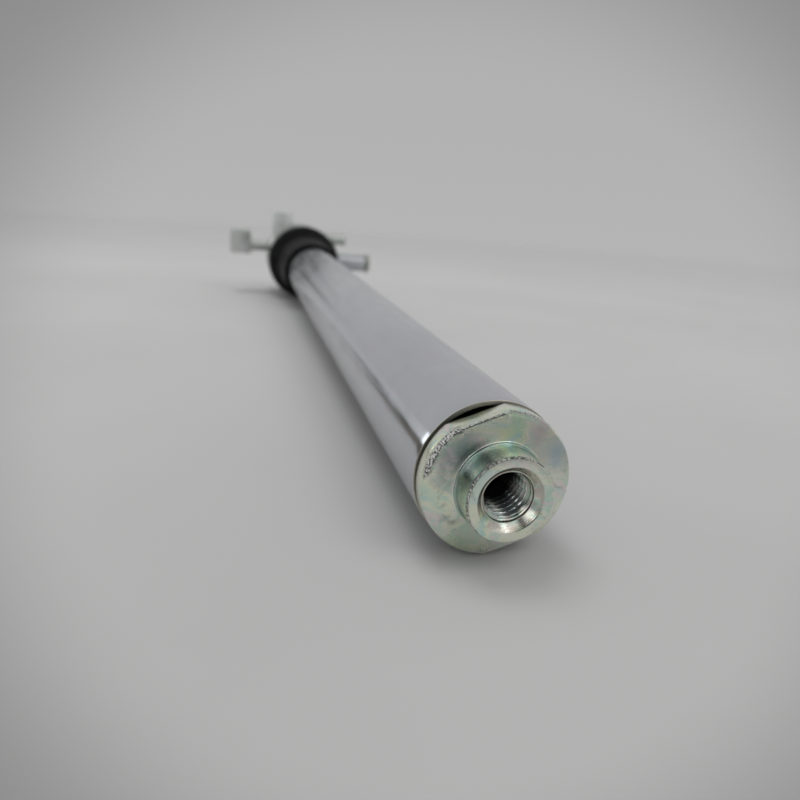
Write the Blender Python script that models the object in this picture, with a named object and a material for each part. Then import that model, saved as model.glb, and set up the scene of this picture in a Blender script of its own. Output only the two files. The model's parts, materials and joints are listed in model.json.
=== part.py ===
"""Drill paint mixer: a guarded spindle that screws onto a mixing drill.

A drive flange with an M14 thread turns a spindle inside a plated guard tube.
The spindle runs on two ball bearings and carries a round hub behind a rubber
splash boot. Four stirring arms screw into the hub, and the longest one
holds a paddle block that can be turned on its rod and clamped.

The mixer lies along Y: the drive end is at -Y and +Z is up. The origin is on
the resting plane, under the middle of the mixer. "along" is the distance from
the drive face towards the hub. Sizes are in metres.
"""

import math
from collections import namedtuple

import bmesh
import bpy
from mathutils import Matrix, Vector

MM = 0.001
GAP = 0.3 * MM  # running or assembly gap between neighbouring pieces
FIT = 0.15 * MM  # closer gap between a bore and the piece in it
FULL_TURN = 2 * math.pi

# Facets round a turned piece, by size
LARGE_ROUND = 40
BOOT_ROUND = 32
PEG_ROUND = 28
SMALL_ROUND = 20
FINE_ROUND = 14

# Guard tube
TUBE_RADIUS = 21.2 * MM
TUBE_WALL = 1.5 * MM
TUBE_START = 16.0 * MM
TUBE_END = 496.0 * MM
TUBE_EDGE = 0.3 * MM

# Drive flange, with the thread that a drill's spindle screws into
FLANGE_ROUND = 32
BOSS_RADIUS = 11.7 * MM
BOSS_EDGE = 0.3 * MM
BOSS_ROOT_RADIUS = 12.3 * MM
BOSS_ROOT_HEIGHT = 1.0 * MM
BOSS_HEIGHT = 8.3 * MM
FLANGE_RADIUS = 20.9 * MM
FLANGE_BACK = 15.1 * MM
FLANGE_DISH = 0.8 * MM  # the front face falls back this much towards its edge
FLANGE_BEVEL = 1.3 * MM
FLANGE_BEVEL_WIDTH = 0.8 * MM
WRENCH_FLAT = 38.0 * MM  # across the two flats
WRENCH_FLAT_ANGLE = math.radians(110)
COUNTERSINK_RADIUS = 8.9 * MM
COUNTERSINK_DEPTH = 1.95 * MM
THREAD_MAJOR = 7.0 * MM
THREAD_MINOR = 5.93 * MM
THREAD_PITCH = 2.0 * MM
THREAD_END = 20.0 * MM
NECK_RADIUS = 11.0 * MM
NECK_END = 47.6 * MM
SOCKET_START = 26.0 * MM

# Spindle, its drive pin and its drive key
SPINDLE_RADIUS = 7.5 * MM
SPINDLE_START = SOCKET_START + GAP
SPINDLE_THREAD_RADIUS = 6.0 * MM
SPINDLE_THREAD_RELIEF = 2.0 * MM
SPINDLE_END = 609.0 * MM
PIN_RADIUS = 2.5 * MM
PIN_BORE = 1.5 * MM
PIN_OPENING = 0.6  # radians
PIN_ALONG = 38.0 * MM
PIN_LENGTH = 21.0 * MM
KEY_WIDTH = 5.0 * MM
KEY_LOW = -9.7 * MM
KEY_HIGH = -4.8 * MM
KEY_INSET = 8.0 * MM  # from either face of the hub

# Ball bearings, 15 x 35 x 11
BEARING_BORE = 7.7 * MM
BEARING_OUTSIDE = 17.5 * MM
BEARING_WIDTH = 11.0 * MM
INNER_SHOULDER = 10.3 * MM
OUTER_SHOULDER = 14.7 * MM
GROOVE_ANGLE = 40  # degrees from the middle of the groove to its edge
BALL_RADIUS = 3.0 * MM
BALL_CIRCLE = 12.5 * MM
BALL_COUNT = 7
BALL_CLEARANCE = 0.22 * MM
CAGE_ROUND = 16
CAGE_INNER = 11.6 * MM
CAGE_OUTER = 13.4 * MM
CAGE_WIDTH = 6.8 * MM
FRONT_BEARING = NECK_END + GAP
REAR_BEARING = 470.0 * MM
FRONT_BEARING_END = FRONT_BEARING + BEARING_WIDTH
REAR_BEARING_END = REAR_BEARING + BEARING_WIDTH

# What holds and seals the bearings
CARRIER_RADIUS = 19.5 * MM
CARRIER_LIP = 14.6 * MM
CARRIER_SEAT = BEARING_OUTSIDE + 0.1 * MM
FRONT_CARRIER_START = 40.0 * MM
FRONT_CARRIER_END = FRONT_BEARING_END + 5.0 * MM
REAR_CARRIER_START = 460.0 * MM
REAR_CARRIER_END = TUBE_END - 2.0 * MM
CLIP_GROOVE_RADIUS = 6.9 * MM
CLIP_GROOVE_WIDTH = 1.4 * MM
SHAFT_CLIP_OUTER = 9.5 * MM
SHAFT_CLIP_WIDTH = 1.0 * MM
SHAFT_CLIP_OPENING = 0.7  # radians
BORE_CLIP_INNER = 15.4 * MM
BORE_CLIP_OUTER = 17.4 * MM
BORE_CLIP_WIDTH = 1.4 * MM
BORE_CLIP_OPENING = 0.6  # radians
BORE_CLIP_ROUND = 24
WASHER_INNER = 15.2 * MM
WASHER_OUTER = 17.2 * MM
WASHER_THICKNESS = 0.5 * MM
WASHER_WAVE = 0.6 * MM
WASHER_WAVES = 3
WASHER_ROUND = 24
WASHER_START = REAR_BEARING_END + 1.1 * MM
REAR_CLIP_START = REAR_BEARING_END + 2.6 * MM
SEAL_LIP = 1.2 * MM
SEAL_WALL = 2.0 * MM
DUST_SEAL = (26.0 * MM, 33.0 * MM)
SHAFT_SEAL = (REAR_BEARING_END + 5.0 * MM, REAR_BEARING_END + 11.0 * MM)

# Splash boot
BOOT_START = 441.0 * MM
BOOT_END = 533.0 * MM
BOOT_LIP_RADIUS = 23.2 * MM
BOOT_NECK_RADIUS = 24.4 * MM
BOOT_WAIST_RADIUS = 26.6 * MM
BOOT_RADIUS = 34.5 * MM
BOOT_LIP = 1.5 * MM
BOOT_NECK = 57.0 * MM  # from its start to where it flares
BOOT_FLARE = 22.0 * MM
BOOT_FLARE_STEPS = 4
BOOT_ROLL = 2.0 * MM
BOOT_WALL = 4.0 * MM
BOOT_HOOD = 14.0 * MM
BOOT_THROAT = 22.0 * MM
BOOT_WEB = 6.0 * MM
BOOT_WIPER = 2.0 * MM

# Mixing head
SLEEVE_RADIUS = 10.0 * MM
HUB_START = 538.0 * MM
HUB_END = 590.0 * MM
HUB_RADIUS = 34.0 * MM
HUB_BEVEL = 1.5 * MM
HUB_RECESS = (16.0 * MM, 28.0 * MM)
HUB_RECESS_DEPTH = 3.0 * MM
HUB_RECESS_DRAFT = 1.0 * MM
FRONT_STATION = 553.0 * MM  # where the paddle arm and the side peg sit
REAR_STATION = 572.0 * MM  # where the top peg and the short rod sit
HUB_WASHER_RADIUS = 13.0 * MM
HUB_WASHER_THICKNESS = 2.5 * MM
HUB_WASHER_BEVEL = 0.3 * MM
HUB_NUT_FLATS = 19.0 * MM
HUB_NUT_HEIGHT = 8.0 * MM
HUB_NUT_COLLAR = 8.6 * MM
HUB_NUT_COLLAR_ENDS = (4.0 * MM, 11.5 * MM)

# Stirring arms, measured outward from the spindle's axis plane: the thread's
# radius and inner end, the seat in the hub, then the rod's radius and tip
Arm = namedtuple("Arm", "thread inner seat radius tip")
SIDE_REACH = 71.2 * MM  # the paddle and the side peg reach equally far
PADDLE_ARM = Arm(5.9 * MM, 12.0 * MM, 26.5 * MM, 5.5 * MM, SIDE_REACH - 1.5 * MM)
SIDE_PEG = Arm(5.9 * MM, 12.0 * MM, 26.5 * MM, 8.5 * MM, SIDE_REACH - 5.0 * MM)
SHORT_ROD = Arm(4.9 * MM, 1.0 * MM, 17.0 * MM, 5.8 * MM, 48.6 * MM)
TOP_PEG = Arm(6.9 * MM, -8.0 * MM, 14.0 * MM, 10.7 * MM, 45.5 * MM)
PADDLE_ARM_HEIGHT = 11.7 * MM
SIDE_PEG_HEIGHT = -1.0 * MM
SHORT_ROD_HEIGHT = 20.6 * MM
TOP_PEG_OFFSET = -18.3 * MM
SOCKET_ROUND = 16
WIDE_NUT = 18.0 * MM
SLIM_NUT = 16.0 * MM
LOCK_NUT_HEIGHT = 6.5 * MM
SEAT_WASHER_THICKNESS = 1.2 * MM
CAP_SPIGOT_RADIUS = 6.5 * MM
CAP_RADIUS = 9.1 * MM
CAP_BEVEL = 0.8 * MM
CAP_END_WALL = 1.3 * MM
CAP_GROOVE = 1.0 * MM  # left open between the peg's shoulder and its cap

# Paddle block, measured from the rod it is clamped on
BLOCK_LENGTH = 20.0 * MM
BLOCK_BELOW = 8.1 * MM
BLOCK_ABOVE = 15.9 * MM
BLOCK_DEPTH = 20.0 * MM
BLOCK_BEVEL = 1.0 * MM
SLIT_WIDTH = 1.4 * MM
SCREW_HEIGHT = 10.6 * MM
SCREW_INSET = 3.9 * MM  # from the block's inner face
SCREW_RADIUS = 1.95 * MM
SCREW_HOLE = 2.25 * MM
SCREW_HEAD_RADIUS = 3.6 * MM
SCREW_HEAD_HEIGHT = 4.0 * MM
SCREW_KEY_FLATS = 3.2 * MM
SCREW_KEY_DEPTH = 2.4 * MM

AXIS_HEIGHT = BOOT_RADIUS
MIXER_LENGTH = SPINDLE_END


# ---------------------------------------------------------------- helpers


def clear_scene():
    for obj in list(bpy.data.objects):
        bpy.data.objects.remove(obj, do_unlink=True)


def make_material(name, colour, roughness, metallic):
    material = bpy.data.materials.new(name)
    material.use_nodes = True
    shader = material.node_tree.nodes["Principled BSDF"]
    shader.inputs["Base Color"].default_value = (*colour, 1.0)
    shader.inputs["Roughness"].default_value = roughness
    shader.inputs["Metallic"].default_value = metallic
    return material


def make_empty(name, location, parent=None):
    empty = bpy.data.objects.new(name, None)
    empty.location = location
    empty.parent = parent
    bpy.context.scene.collection.objects.link(empty)
    return empty


def add_object(name, bm, material=None, parent=None, smooth_angle=35):
    """Closes a bmesh into a named object with outward faces."""
    bmesh.ops.remove_doubles(bm, verts=bm.verts, dist=1e-7)
    bmesh.ops.recalc_face_normals(bm, faces=bm.faces)
    mesh = bpy.data.meshes.new(name)
    bm.to_mesh(mesh)
    bm.free()
    mesh.shade_smooth()
    mesh.set_sharp_from_angle(angle=math.radians(smooth_angle))
    if material:
        mesh.materials.append(material)
    obj = bpy.data.objects.new(name, mesh)
    obj.parent = parent
    bpy.context.scene.collection.objects.link(obj)
    return obj


def hole(radius, segments=SMALL_ROUND):
    """Corner radius of a faceted hole whose flats stay outside radius."""
    return radius / math.cos(math.pi / segments)


def turned(profile, segments=SMALL_ROUND, closed=True):
    """Spins a (radius, along) profile round the Y axis."""
    bm = bmesh.new()
    verts = [bm.verts.new((radius, along, 0)) for radius, along in profile]
    pairs = list(zip(verts, verts[1:]))
    if closed:
        pairs.append((verts[-1], verts[0]))
    edges = [bm.edges.new(pair) for pair in pairs]
    bmesh.ops.spin(
        bm,
        geom=verts + edges,
        cent=(0, 0, 0),
        axis=(0, 1, 0),
        angle=FULL_TURN,
        steps=segments,
        use_merge=True,
    )
    return bm


def turned_steps(steps, segments=SMALL_ROUND, bevel=0.4 * MM):
    """A stepped solid rod. Each step is (radius, start, end)."""
    first, last = steps[0], steps[-1]
    points = [(0, first[1]), (first[0] - bevel, first[1]), (first[0], first[1] + bevel)]
    for here, after in zip(steps, steps[1:]):
        points.append((here[0], here[2]))
        points.append((after[0], here[2]))
    points += [(last[0], last[2] - bevel), (last[0] - bevel, last[2]), (0, last[2])]
    return turned(points, segments, closed=False)


def ring_profile(inner, outer, start, end, bevel=0.0):
    """A closed rectangle, with its two outer corners bevelled."""
    return [
        (inner, start),
        (outer - bevel, start),
        (outer, start + bevel),
        (outer, end - bevel),
        (outer - bevel, end),
        (inner, end),
    ]


def open_ring(inner, outer, start, end, opening, middle, segments=SMALL_ROUND):
    """A ring with a gap: an outline of two arcs, extruded along Y."""
    bm = bmesh.new()
    first = middle + opening / 2
    sweep = FULL_TURN - opening
    angles = [first + sweep * step / segments for step in range(segments + 1)]
    outline = [(outer, angle) for angle in angles]
    outline += [(inner, angle) for angle in reversed(angles)]
    verts = [
        bm.verts.new((radius * math.cos(angle), start, radius * math.sin(angle)))
        for radius, angle in outline
    ]
    face = bm.faces.new(verts)
    made = bmesh.ops.extrude_face_region(bm, geom=[face])
    moved = [item for item in made["geom"] if isinstance(item, bmesh.types.BMVert)]
    bmesh.ops.translate(bm, verts=moved, vec=(0, end - start, 0))
    return bm


def block(low, high, bevel=0.0):
    """A box between two corners, with its edges bevelled."""
    bm = bmesh.new()
    size = Vector(high) - Vector(low)
    centre = (Vector(high) + Vector(low)) / 2
    matrix = Matrix.Translation(centre) @ Matrix.Diagonal((*size, 1))
    bmesh.ops.create_cube(bm, size=1, matrix=matrix)
    if bevel:
        bmesh.ops.bevel(
            bm, geom=bm.edges[:], offset=bevel, segments=1, affect="EDGES"
        )
    return bm


def hexagon(across_flats, start, end):
    """A hexagonal prism along Y."""
    bm = bmesh.new()
    corner = across_flats / math.sqrt(3)
    upright = Matrix.Rotation(math.pi / 2, 4, "X")
    bmesh.ops.create_cone(
        bm,
        cap_ends=True,
        segments=6,
        radius1=corner,
        radius2=corner,
        depth=end - start,
        matrix=Matrix.Translation((0, (start + end) / 2, 0)) @ upright,
    )
    return bm


def cut(obj, name, cutter_bm, operation="DIFFERENCE", matrix=None):
    """Adds a Boolean with a hidden cutter that rides with obj."""
    cutter = add_object(f"{name}_cutter", cutter_bm)
    cutter.parent = obj
    if matrix:
        cutter.matrix_local = matrix
    cutter.hide_render = True
    cutter.display_type = "WIRE"
    modifier = obj.modifiers.new(name, "BOOLEAN")
    modifier.operation = operation
    modifier.object = cutter


def facing(direction, origin=(0, 0, 0)):
    """Places something built along +Y at origin, pointing in a direction."""
    turn = Vector((0, 1, 0)).rotation_difference(Vector(direction))
    return Matrix.Translation(origin) @ turn.to_matrix().to_4x4()


# ------------------------------------------------------------ drive flange


def thread_lattice(bm):
    """The internal thread: crest and root lines that climb one pitch a turn."""
    segments = FLANGE_ROUND
    length = THREAD_END - COUNTERSINK_DEPTH
    turns = math.ceil(length / THREAD_PITCH)
    lines = range(-2, 2 * turns + 1)
    grid = {}
    for line in lines:
        for column in range(segments):
            depth = (line / 2 + column / segments) * THREAD_PITCH
            radius = THREAD_MINOR if line % 2 else THREAD_MAJOR
            if depth <= 0:
                depth, radius = 0, THREAD_MAJOR
            if depth >= length:
                depth, radius = length, THREAD_MAJOR
            angle = -FULL_TURN * column / segments
            point = (
                radius * math.cos(angle),
                COUNTERSINK_DEPTH + depth,
                radius * math.sin(angle),
            )
            grid[line, column] = bm.verts.new(point)
    for line in lines:
        for column in range(segments):
            after, shift = (column + 1, 0) if column + 1 < segments else (0, 2)
            corners = [
                (line, column),
                (line + 1, column),
                (line + 1 + shift, after),
                (line + shift, after),
            ]
            if all(corner in grid for corner in corners):
                bm.faces.new([grid[corner] for corner in corners])


def drive_flange(material, parent):
    socket = hole(SPINDLE_RADIUS + FIT, FLANGE_ROUND)
    face_edge = BOSS_HEIGHT + FLANGE_DISH
    outside = [
        (THREAD_MAJOR, COUNTERSINK_DEPTH),
        (COUNTERSINK_RADIUS, 0),
        (BOSS_RADIUS - BOSS_EDGE, 0),
        (BOSS_RADIUS, BOSS_EDGE),
        (BOSS_RADIUS, BOSS_HEIGHT - BOSS_ROOT_HEIGHT),
        (BOSS_ROOT_RADIUS, BOSS_HEIGHT),
        (FLANGE_RADIUS - FLANGE_BEVEL_WIDTH, face_edge),
        (FLANGE_RADIUS, face_edge + FLANGE_BEVEL),
        (FLANGE_RADIUS, FLANGE_BACK),
        (NECK_RADIUS, FLANGE_BACK),
        (NECK_RADIUS, NECK_END),
        (socket, NECK_END),
        (socket, SOCKET_START),
        (THREAD_MAJOR, SOCKET_START),
        (THREAD_MAJOR, THREAD_END),
    ]
    bm = turned(outside, FLANGE_ROUND, closed=False)
    thread_lattice(bm)
    flange = add_object("drive_flange", bm, material, parent)
    cut_flat(flange, "upper_flat", WRENCH_FLAT_ANGLE)
    cut_flat(flange, "lower_flat", WRENCH_FLAT_ANGLE + math.pi)
    cut_pin_hole(flange, NECK_RADIUS)


def cut_flat(flange, name, angle):
    """Removes all that lies beyond half the wrench size in one direction."""
    margin = 2 * MM
    low = (-FLANGE_RADIUS, BOSS_HEIGHT - margin, WRENCH_FLAT / 2)
    high = (FLANGE_RADIUS, FLANGE_BACK + margin, 2 * FLANGE_RADIUS)
    turn = Matrix.Rotation(math.pi / 2 - angle, 4, "Y")
    cut(flange, name, block(low, high), matrix=turn)


def cut_pin_hole(obj, radius):
    """The cross hole for the drive pin, through a piece of this radius."""
    reach = radius + 5 * MM
    drill = turned_steps([(PIN_RADIUS + FIT, -reach, reach)], FINE_ROUND)
    cut(obj, "pin_hole", drill, matrix=facing((1, 0, 0), (0, PIN_ALONG, 0)))


# ----------------------------------------------------------------- spindle


def spindle_shaft(material, parent):
    front_groove = FRONT_BEARING_END + GAP
    rear_groove = REAR_BEARING - GAP - CLIP_GROOVE_WIDTH
    shoulder = HUB_END - SPINDLE_THREAD_RELIEF
    steps = [
        (SPINDLE_RADIUS, SPINDLE_START, front_groove),
        (CLIP_GROOVE_RADIUS, front_groove, front_groove + CLIP_GROOVE_WIDTH),
        (SPINDLE_RADIUS, front_groove + CLIP_GROOVE_WIDTH, rear_groove),
        (CLIP_GROOVE_RADIUS, rear_groove, rear_groove + CLIP_GROOVE_WIDTH),
        (SPINDLE_RADIUS, rear_groove + CLIP_GROOVE_WIDTH, shoulder),
        (SPINDLE_THREAD_RADIUS, shoulder, SPINDLE_END),
    ]
    spindle = add_object("spindle_shaft", turned_steps(steps), material, parent)
    cut_pin_hole(spindle, SPINDLE_RADIUS)
    cut(spindle, "keyway", key_block(FIT))


def key_block(grow):
    """The drive key's box, grown on every side for the keyways."""
    low = (-KEY_WIDTH / 2 - grow, HUB_START + KEY_INSET - grow, KEY_LOW - grow)
    high = (KEY_WIDTH / 2 + grow, HUB_END - KEY_INSET + grow, KEY_HIGH + grow)
    return block(low, high)


def hub_drive_key(material, parent):
    add_object("hub_drive_key", key_block(0), material, parent)


def spring_pin(material, parent):
    """A rolled pin, split along its length."""
    half = PIN_LENGTH / 2
    split = math.pi / 2
    bm = open_ring(PIN_BORE, PIN_RADIUS, -half, half, PIN_OPENING, split, FINE_ROUND)
    bm.transform(facing((1, 0, 0), (0, PIN_ALONG, 0)))
    add_object("flange_spring_pin", bm, material, parent)


def shaft_circlip(name, start, material, parent):
    bm = open_ring(
        CLIP_GROOVE_RADIUS + FIT,
        SHAFT_CLIP_OUTER,
        start,
        start + SHAFT_CLIP_WIDTH,
        SHAFT_CLIP_OPENING,
        math.pi / 2,
    )
    add_object(name, bm, material, parent)


def spacer_sleeve(material, parent):
    """Keeps the hub clear of the rear bearing, and gives its seal a surface."""
    bore = hole(BEARING_BORE)
    profile = ring_profile(bore, SLEEVE_RADIUS, REAR_BEARING_END + GAP, HUB_START - GAP)
    add_object("hub_spacer_sleeve", turned(profile), material, parent)


# ---------------------------------------------------------------- bearings


def groove_points(centre, side):
    """Three points of a ball groove, side -1 on the inner ring and +1 on the outer."""
    reach = BALL_RADIUS + BALL_CLEARANCE
    points = []
    for degrees in (-GROOVE_ANGLE, 0, GROOVE_ANGLE):
        angle = math.radians(degrees)
        radius = BALL_CIRCLE + side * reach * math.cos(angle)
        if side > 0:
            radius = hole(radius)
        points.append((radius, centre + reach * math.sin(angle)))
    return points


def bearing_inner_ring(name, start, material, parent):
    end = start + BEARING_WIDTH
    bore = hole(BEARING_BORE)
    profile = [(bore, start), (INNER_SHOULDER, start)]
    profile += groove_points((start + end) / 2, -1)
    profile += [(INNER_SHOULDER, end), (bore, end)]
    add_object(name, turned(profile), material, parent)


def bearing_outer_ring(name, start, material, parent):
    end = start + BEARING_WIDTH
    shoulder = hole(OUTER_SHOULDER)
    profile = [(BEARING_OUTSIDE, end), (BEARING_OUTSIDE, start), (shoulder, start)]
    profile += groove_points((start + end) / 2, 1)
    profile += [(shoulder, end)]
    add_object(name, turned(profile), material, parent)


def ball_cage(name, start, material, parent):
    """The cage ring with its balls, which turn as one set between the rings."""
    middle = start + BEARING_WIDTH / 2
    half = CAGE_WIDTH / 2
    bore = hole(CAGE_INNER, CAGE_ROUND)
    ring = ring_profile(bore, CAGE_OUTER, middle - half, middle + half)
    cage = add_object(name, turned(ring, CAGE_ROUND), material, parent)
    balls = bmesh.new()
    for number in range(BALL_COUNT):
        angle = FULL_TURN * (number + 0.5) / BALL_COUNT
        centre = (BALL_CIRCLE * math.cos(angle), middle, BALL_CIRCLE * math.sin(angle))
        place = Matrix.Translation(centre)
        bmesh.ops.create_icosphere(balls, subdivisions=2, radius=BALL_RADIUS, matrix=place)
    cut(cage, "balls", balls, operation="UNION")


def bearing_carrier(name, bearing, start, end, material, parent):
    """A sleeve pressed into the guard tube, with a lip that a bearing seats on."""
    lip = hole(CARRIER_LIP)
    seat = hole(CARRIER_SEAT)
    profile = [
        (lip, start),
        (CARRIER_RADIUS, start),
        (CARRIER_RADIUS, end),
        (seat, end),
        (seat, bearing - GAP),
        (lip, bearing - GAP),
    ]
    add_object(name, turned(profile), material, parent)


def bore_circlip(name, start, material, parent):
    bm = open_ring(
        BORE_CLIP_INNER,
        BORE_CLIP_OUTER,
        start,
        start + BORE_CLIP_WIDTH,
        BORE_CLIP_OPENING,
        -math.pi / 2,
        BORE_CLIP_ROUND,
    )
    add_object(name, bm, material, parent)


def wave_washer(material, parent):
    """A thin ring that rises and falls round its turn and preloads the rear bearing."""
    profile = ring_profile(WASHER_INNER, WASHER_OUTER, 0, WASHER_THICKNESS)
    bm = turned(profile, WASHER_ROUND)
    for vert in bm.verts:
        angle = math.atan2(vert.co.z, vert.co.x)
        vert.co.y += WASHER_START + WASHER_WAVE * math.cos(WASHER_WAVES * angle)
    add_object("preload_wave_washer", bm, material, parent)


def seal_ring(name, inner, outer, ends, material, parent):
    """A rubber seal with a stiff back and a thinner lip at its bore."""
    start, end = ends
    bore = hole(inner)
    profile = [
        (bore, start),
        (outer, start),
        (outer, end),
        (outer - SEAL_WALL, end),
        (outer - SEAL_WALL, start + 2 * SEAL_LIP),
        (bore, start + SEAL_LIP),
    ]
    add_object(name, turned(profile), material, parent)


# -------------------------------------------------------------- guard side


def guard_tube(material, parent):
    bore = hole(TUBE_RADIUS - TUBE_WALL, LARGE_ROUND)
    profile = [
        (bore, TUBE_START + TUBE_EDGE),
        (bore + TUBE_EDGE, TUBE_START),
        (TUBE_RADIUS - TUBE_EDGE, TUBE_START),
        (TUBE_RADIUS, TUBE_START + TUBE_EDGE),
        (TUBE_RADIUS, TUBE_END - TUBE_EDGE),
        (TUBE_RADIUS - TUBE_EDGE, TUBE_END),
        (bore, TUBE_END),
    ]
    add_object("guard_tube", turned(profile, LARGE_ROUND), material, parent)


def flare_points():
    """The boot swells from its waist to its full radius in an S curve."""
    points = []
    for step in range(1, BOOT_FLARE_STEPS):
        share = step / BOOT_FLARE_STEPS
        rise = share * share * (3 - 2 * share)
        radius = BOOT_WAIST_RADIUS + (BOOT_RADIUS - BOOT_WAIST_RADIUS) * rise
        points.append((radius, BOOT_START + BOOT_NECK + BOOT_FLARE * share))
    return points


def splash_boot(material, parent):
    """A bell-shaped rubber boot that grips the tube and hoods the front of the hub."""
    grip = hole(TUBE_RADIUS + FIT, BOOT_ROUND)
    wiper = hole(SLEEVE_RADIUS + GAP, BOOT_ROUND)
    web = TUBE_END + GAP
    outside = [
        (grip, BOOT_START),
        (BOOT_LIP_RADIUS, BOOT_START),
        (BOOT_NECK_RADIUS, BOOT_START + BOOT_LIP),
        (BOOT_WAIST_RADIUS, BOOT_START + BOOT_NECK),
        *flare_points(),
        (BOOT_RADIUS, BOOT_START + BOOT_NECK + BOOT_FLARE),
        (BOOT_RADIUS, BOOT_END - BOOT_ROLL),
        (BOOT_RADIUS - BOOT_ROLL, BOOT_END),
    ]
    inside = [
        (BOOT_RADIUS - BOOT_WALL, BOOT_END),
        (BOOT_RADIUS - BOOT_WALL, BOOT_END - BOOT_HOOD),
        (BOOT_THROAT, web + BOOT_WEB),
        (wiper, web + BOOT_WEB),
        (wiper, web + BOOT_WIPER),
        (grip, web),
    ]
    bm = turned(outside + inside, BOOT_ROUND)
    add_object("splash_boot", bm, material, parent)


# ------------------------------------------------------------- mixing head


def arm_places():
    """Each arm's matrix: built along +Y from the spindle axis plane, then turned outward."""
    return {
        "paddle": facing((-1, 0, 0), (0, FRONT_STATION, PADDLE_ARM_HEIGHT)),
        "side": facing((1, 0, 0), (0, FRONT_STATION, SIDE_PEG_HEIGHT)),
        "short": facing((1, 0, 0), (0, REAR_STATION, SHORT_ROD_HEIGHT)),
        "top": facing((0, 0, 1), (TOP_PEG_OFFSET, REAR_STATION, 0)),
    }


def cut_socket(hub, name, arm, pocket, place):
    """A threaded hole with a spot-faced pocket that opens at the hub's rim."""
    hole_radius = arm.thread + GAP
    profile = [
        (0, arm.inner - MM),
        (hole_radius, arm.inner - MM),
        (hole_radius, arm.seat),
        (pocket, arm.seat),
        (pocket, 2 * HUB_RADIUS),
        (0, 2 * HUB_RADIUS),
    ]
    cut(hub, name, turned(profile, SOCKET_ROUND, closed=False), matrix=place)


def mixing_head_hub(material, parent):
    bore = hole(SPINDLE_RADIUS + FIT, LARGE_ROUND)
    recess_inner, recess_outer = HUB_RECESS
    recess = HUB_END - HUB_RECESS_DEPTH
    profile = [
        (bore, HUB_START),
        (HUB_RADIUS - HUB_BEVEL, HUB_START),
        (HUB_RADIUS, HUB_START + HUB_BEVEL),
        (HUB_RADIUS, HUB_END - HUB_BEVEL),
        (HUB_RADIUS - HUB_BEVEL, HUB_END),
        (recess_outer + HUB_RECESS_DRAFT, HUB_END),
        (recess_outer, recess),
        (recess_inner, recess),
        (recess_inner - HUB_RECESS_DRAFT, HUB_END),
        (bore, HUB_END),
    ]
    hub = add_object("mixing_head_hub", turned(profile, LARGE_ROUND), material, parent)
    cut(hub, "keyway", key_block(FIT))
    places = arm_places()
    room = 1 * MM
    wide_pocket = WIDE_NUT / math.sqrt(3) + room
    slim_pocket = SLIM_NUT / math.sqrt(3) + room
    cut_socket(hub, "paddle_socket", PADDLE_ARM, wide_pocket, places["paddle"])
    cut_socket(hub, "side_socket", SIDE_PEG, wide_pocket, places["side"])
    cut_socket(hub, "short_socket", SHORT_ROD, slim_pocket, places["short"])
    cut_socket(hub, "top_socket", TOP_PEG, TOP_PEG.radius + room, places["top"])


def stirring_arm(name, arm, seat_depth, place, material, parent, segments, spigot=()):
    """A rod with a threaded tail. Its shoulder sits seat_depth above the socket's seat."""
    shoulder = arm.seat + seat_depth
    steps = [(arm.thread, arm.inner, shoulder), (arm.radius, shoulder, arm.tip), *spigot]
    bm = turned_steps(steps, segments)
    bm.transform(place)
    add_object(name, bm, material, parent)


def paddle_arm(material, parent):
    place = arm_places()["paddle"]
    depth = LOCK_NUT_HEIGHT + 2 * GAP
    stirring_arm("paddle_arm", PADDLE_ARM, depth, place, material, parent, SMALL_ROUND)


def short_rod(material, parent):
    place = arm_places()["short"]
    depth = LOCK_NUT_HEIGHT + 2 * GAP
    stirring_arm("short_rod", SHORT_ROD, depth, place, material, parent, SMALL_ROUND)


def side_peg(material, parent):
    place = arm_places()["side"]
    depth = LOCK_NUT_HEIGHT + 2 * GAP
    end = SIDE_REACH - CAP_END_WALL - GAP
    spigot = [(CAP_SPIGOT_RADIUS, SIDE_PEG.tip, end)]
    stirring_arm("side_peg", SIDE_PEG, depth, place, material, parent, PEG_ROUND, spigot)


def side_peg_cap(material, parent):
    """A cup that fits over the side peg's spigot."""
    bore = hole(CAP_SPIGOT_RADIUS + GAP, PEG_ROUND)
    start = SIDE_PEG.tip + CAP_GROOVE
    profile = [
        (0, SIDE_REACH),
        (0, SIDE_REACH - CAP_END_WALL),
        (bore, SIDE_REACH - CAP_END_WALL),
        (bore, start),
        (CAP_RADIUS, start),
        (CAP_RADIUS, SIDE_REACH - CAP_BEVEL),
        (CAP_RADIUS - CAP_BEVEL, SIDE_REACH),
    ]
    bm = turned(profile, PEG_ROUND)
    bm.transform(arm_places()["side"])
    add_object("side_peg_cap", bm, material, parent)


def top_peg(material, parent):
    place = arm_places()["top"]
    depth = SEAT_WASHER_THICKNESS + 2 * GAP
    stirring_arm("top_peg", TOP_PEG, depth, place, material, parent, PEG_ROUND)


def top_peg_washer(material, parent):
    """The washer that the top peg's shoulder is tightened down on."""
    start = TOP_PEG.seat + GAP
    bore = hole(TOP_PEG.thread + GAP)
    profile = ring_profile(bore, TOP_PEG.radius, start, start + SEAT_WASHER_THICKNESS)
    bm = turned(profile)
    bm.transform(arm_places()["top"])
    add_object("top_peg_washer", bm, material, parent)


def lock_nut(name, arm, flats, place, material, parent):
    start = arm.seat + GAP
    end = start + LOCK_NUT_HEIGHT
    nut = add_object(name, hexagon(flats, start, end), material, parent)
    nut.matrix_local = place
    bore = hole(arm.thread + 0.2 * MM, SOCKET_ROUND)
    cut(nut, "bore", turned_steps([(bore, 0, 2 * end)], SOCKET_ROUND))


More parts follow.
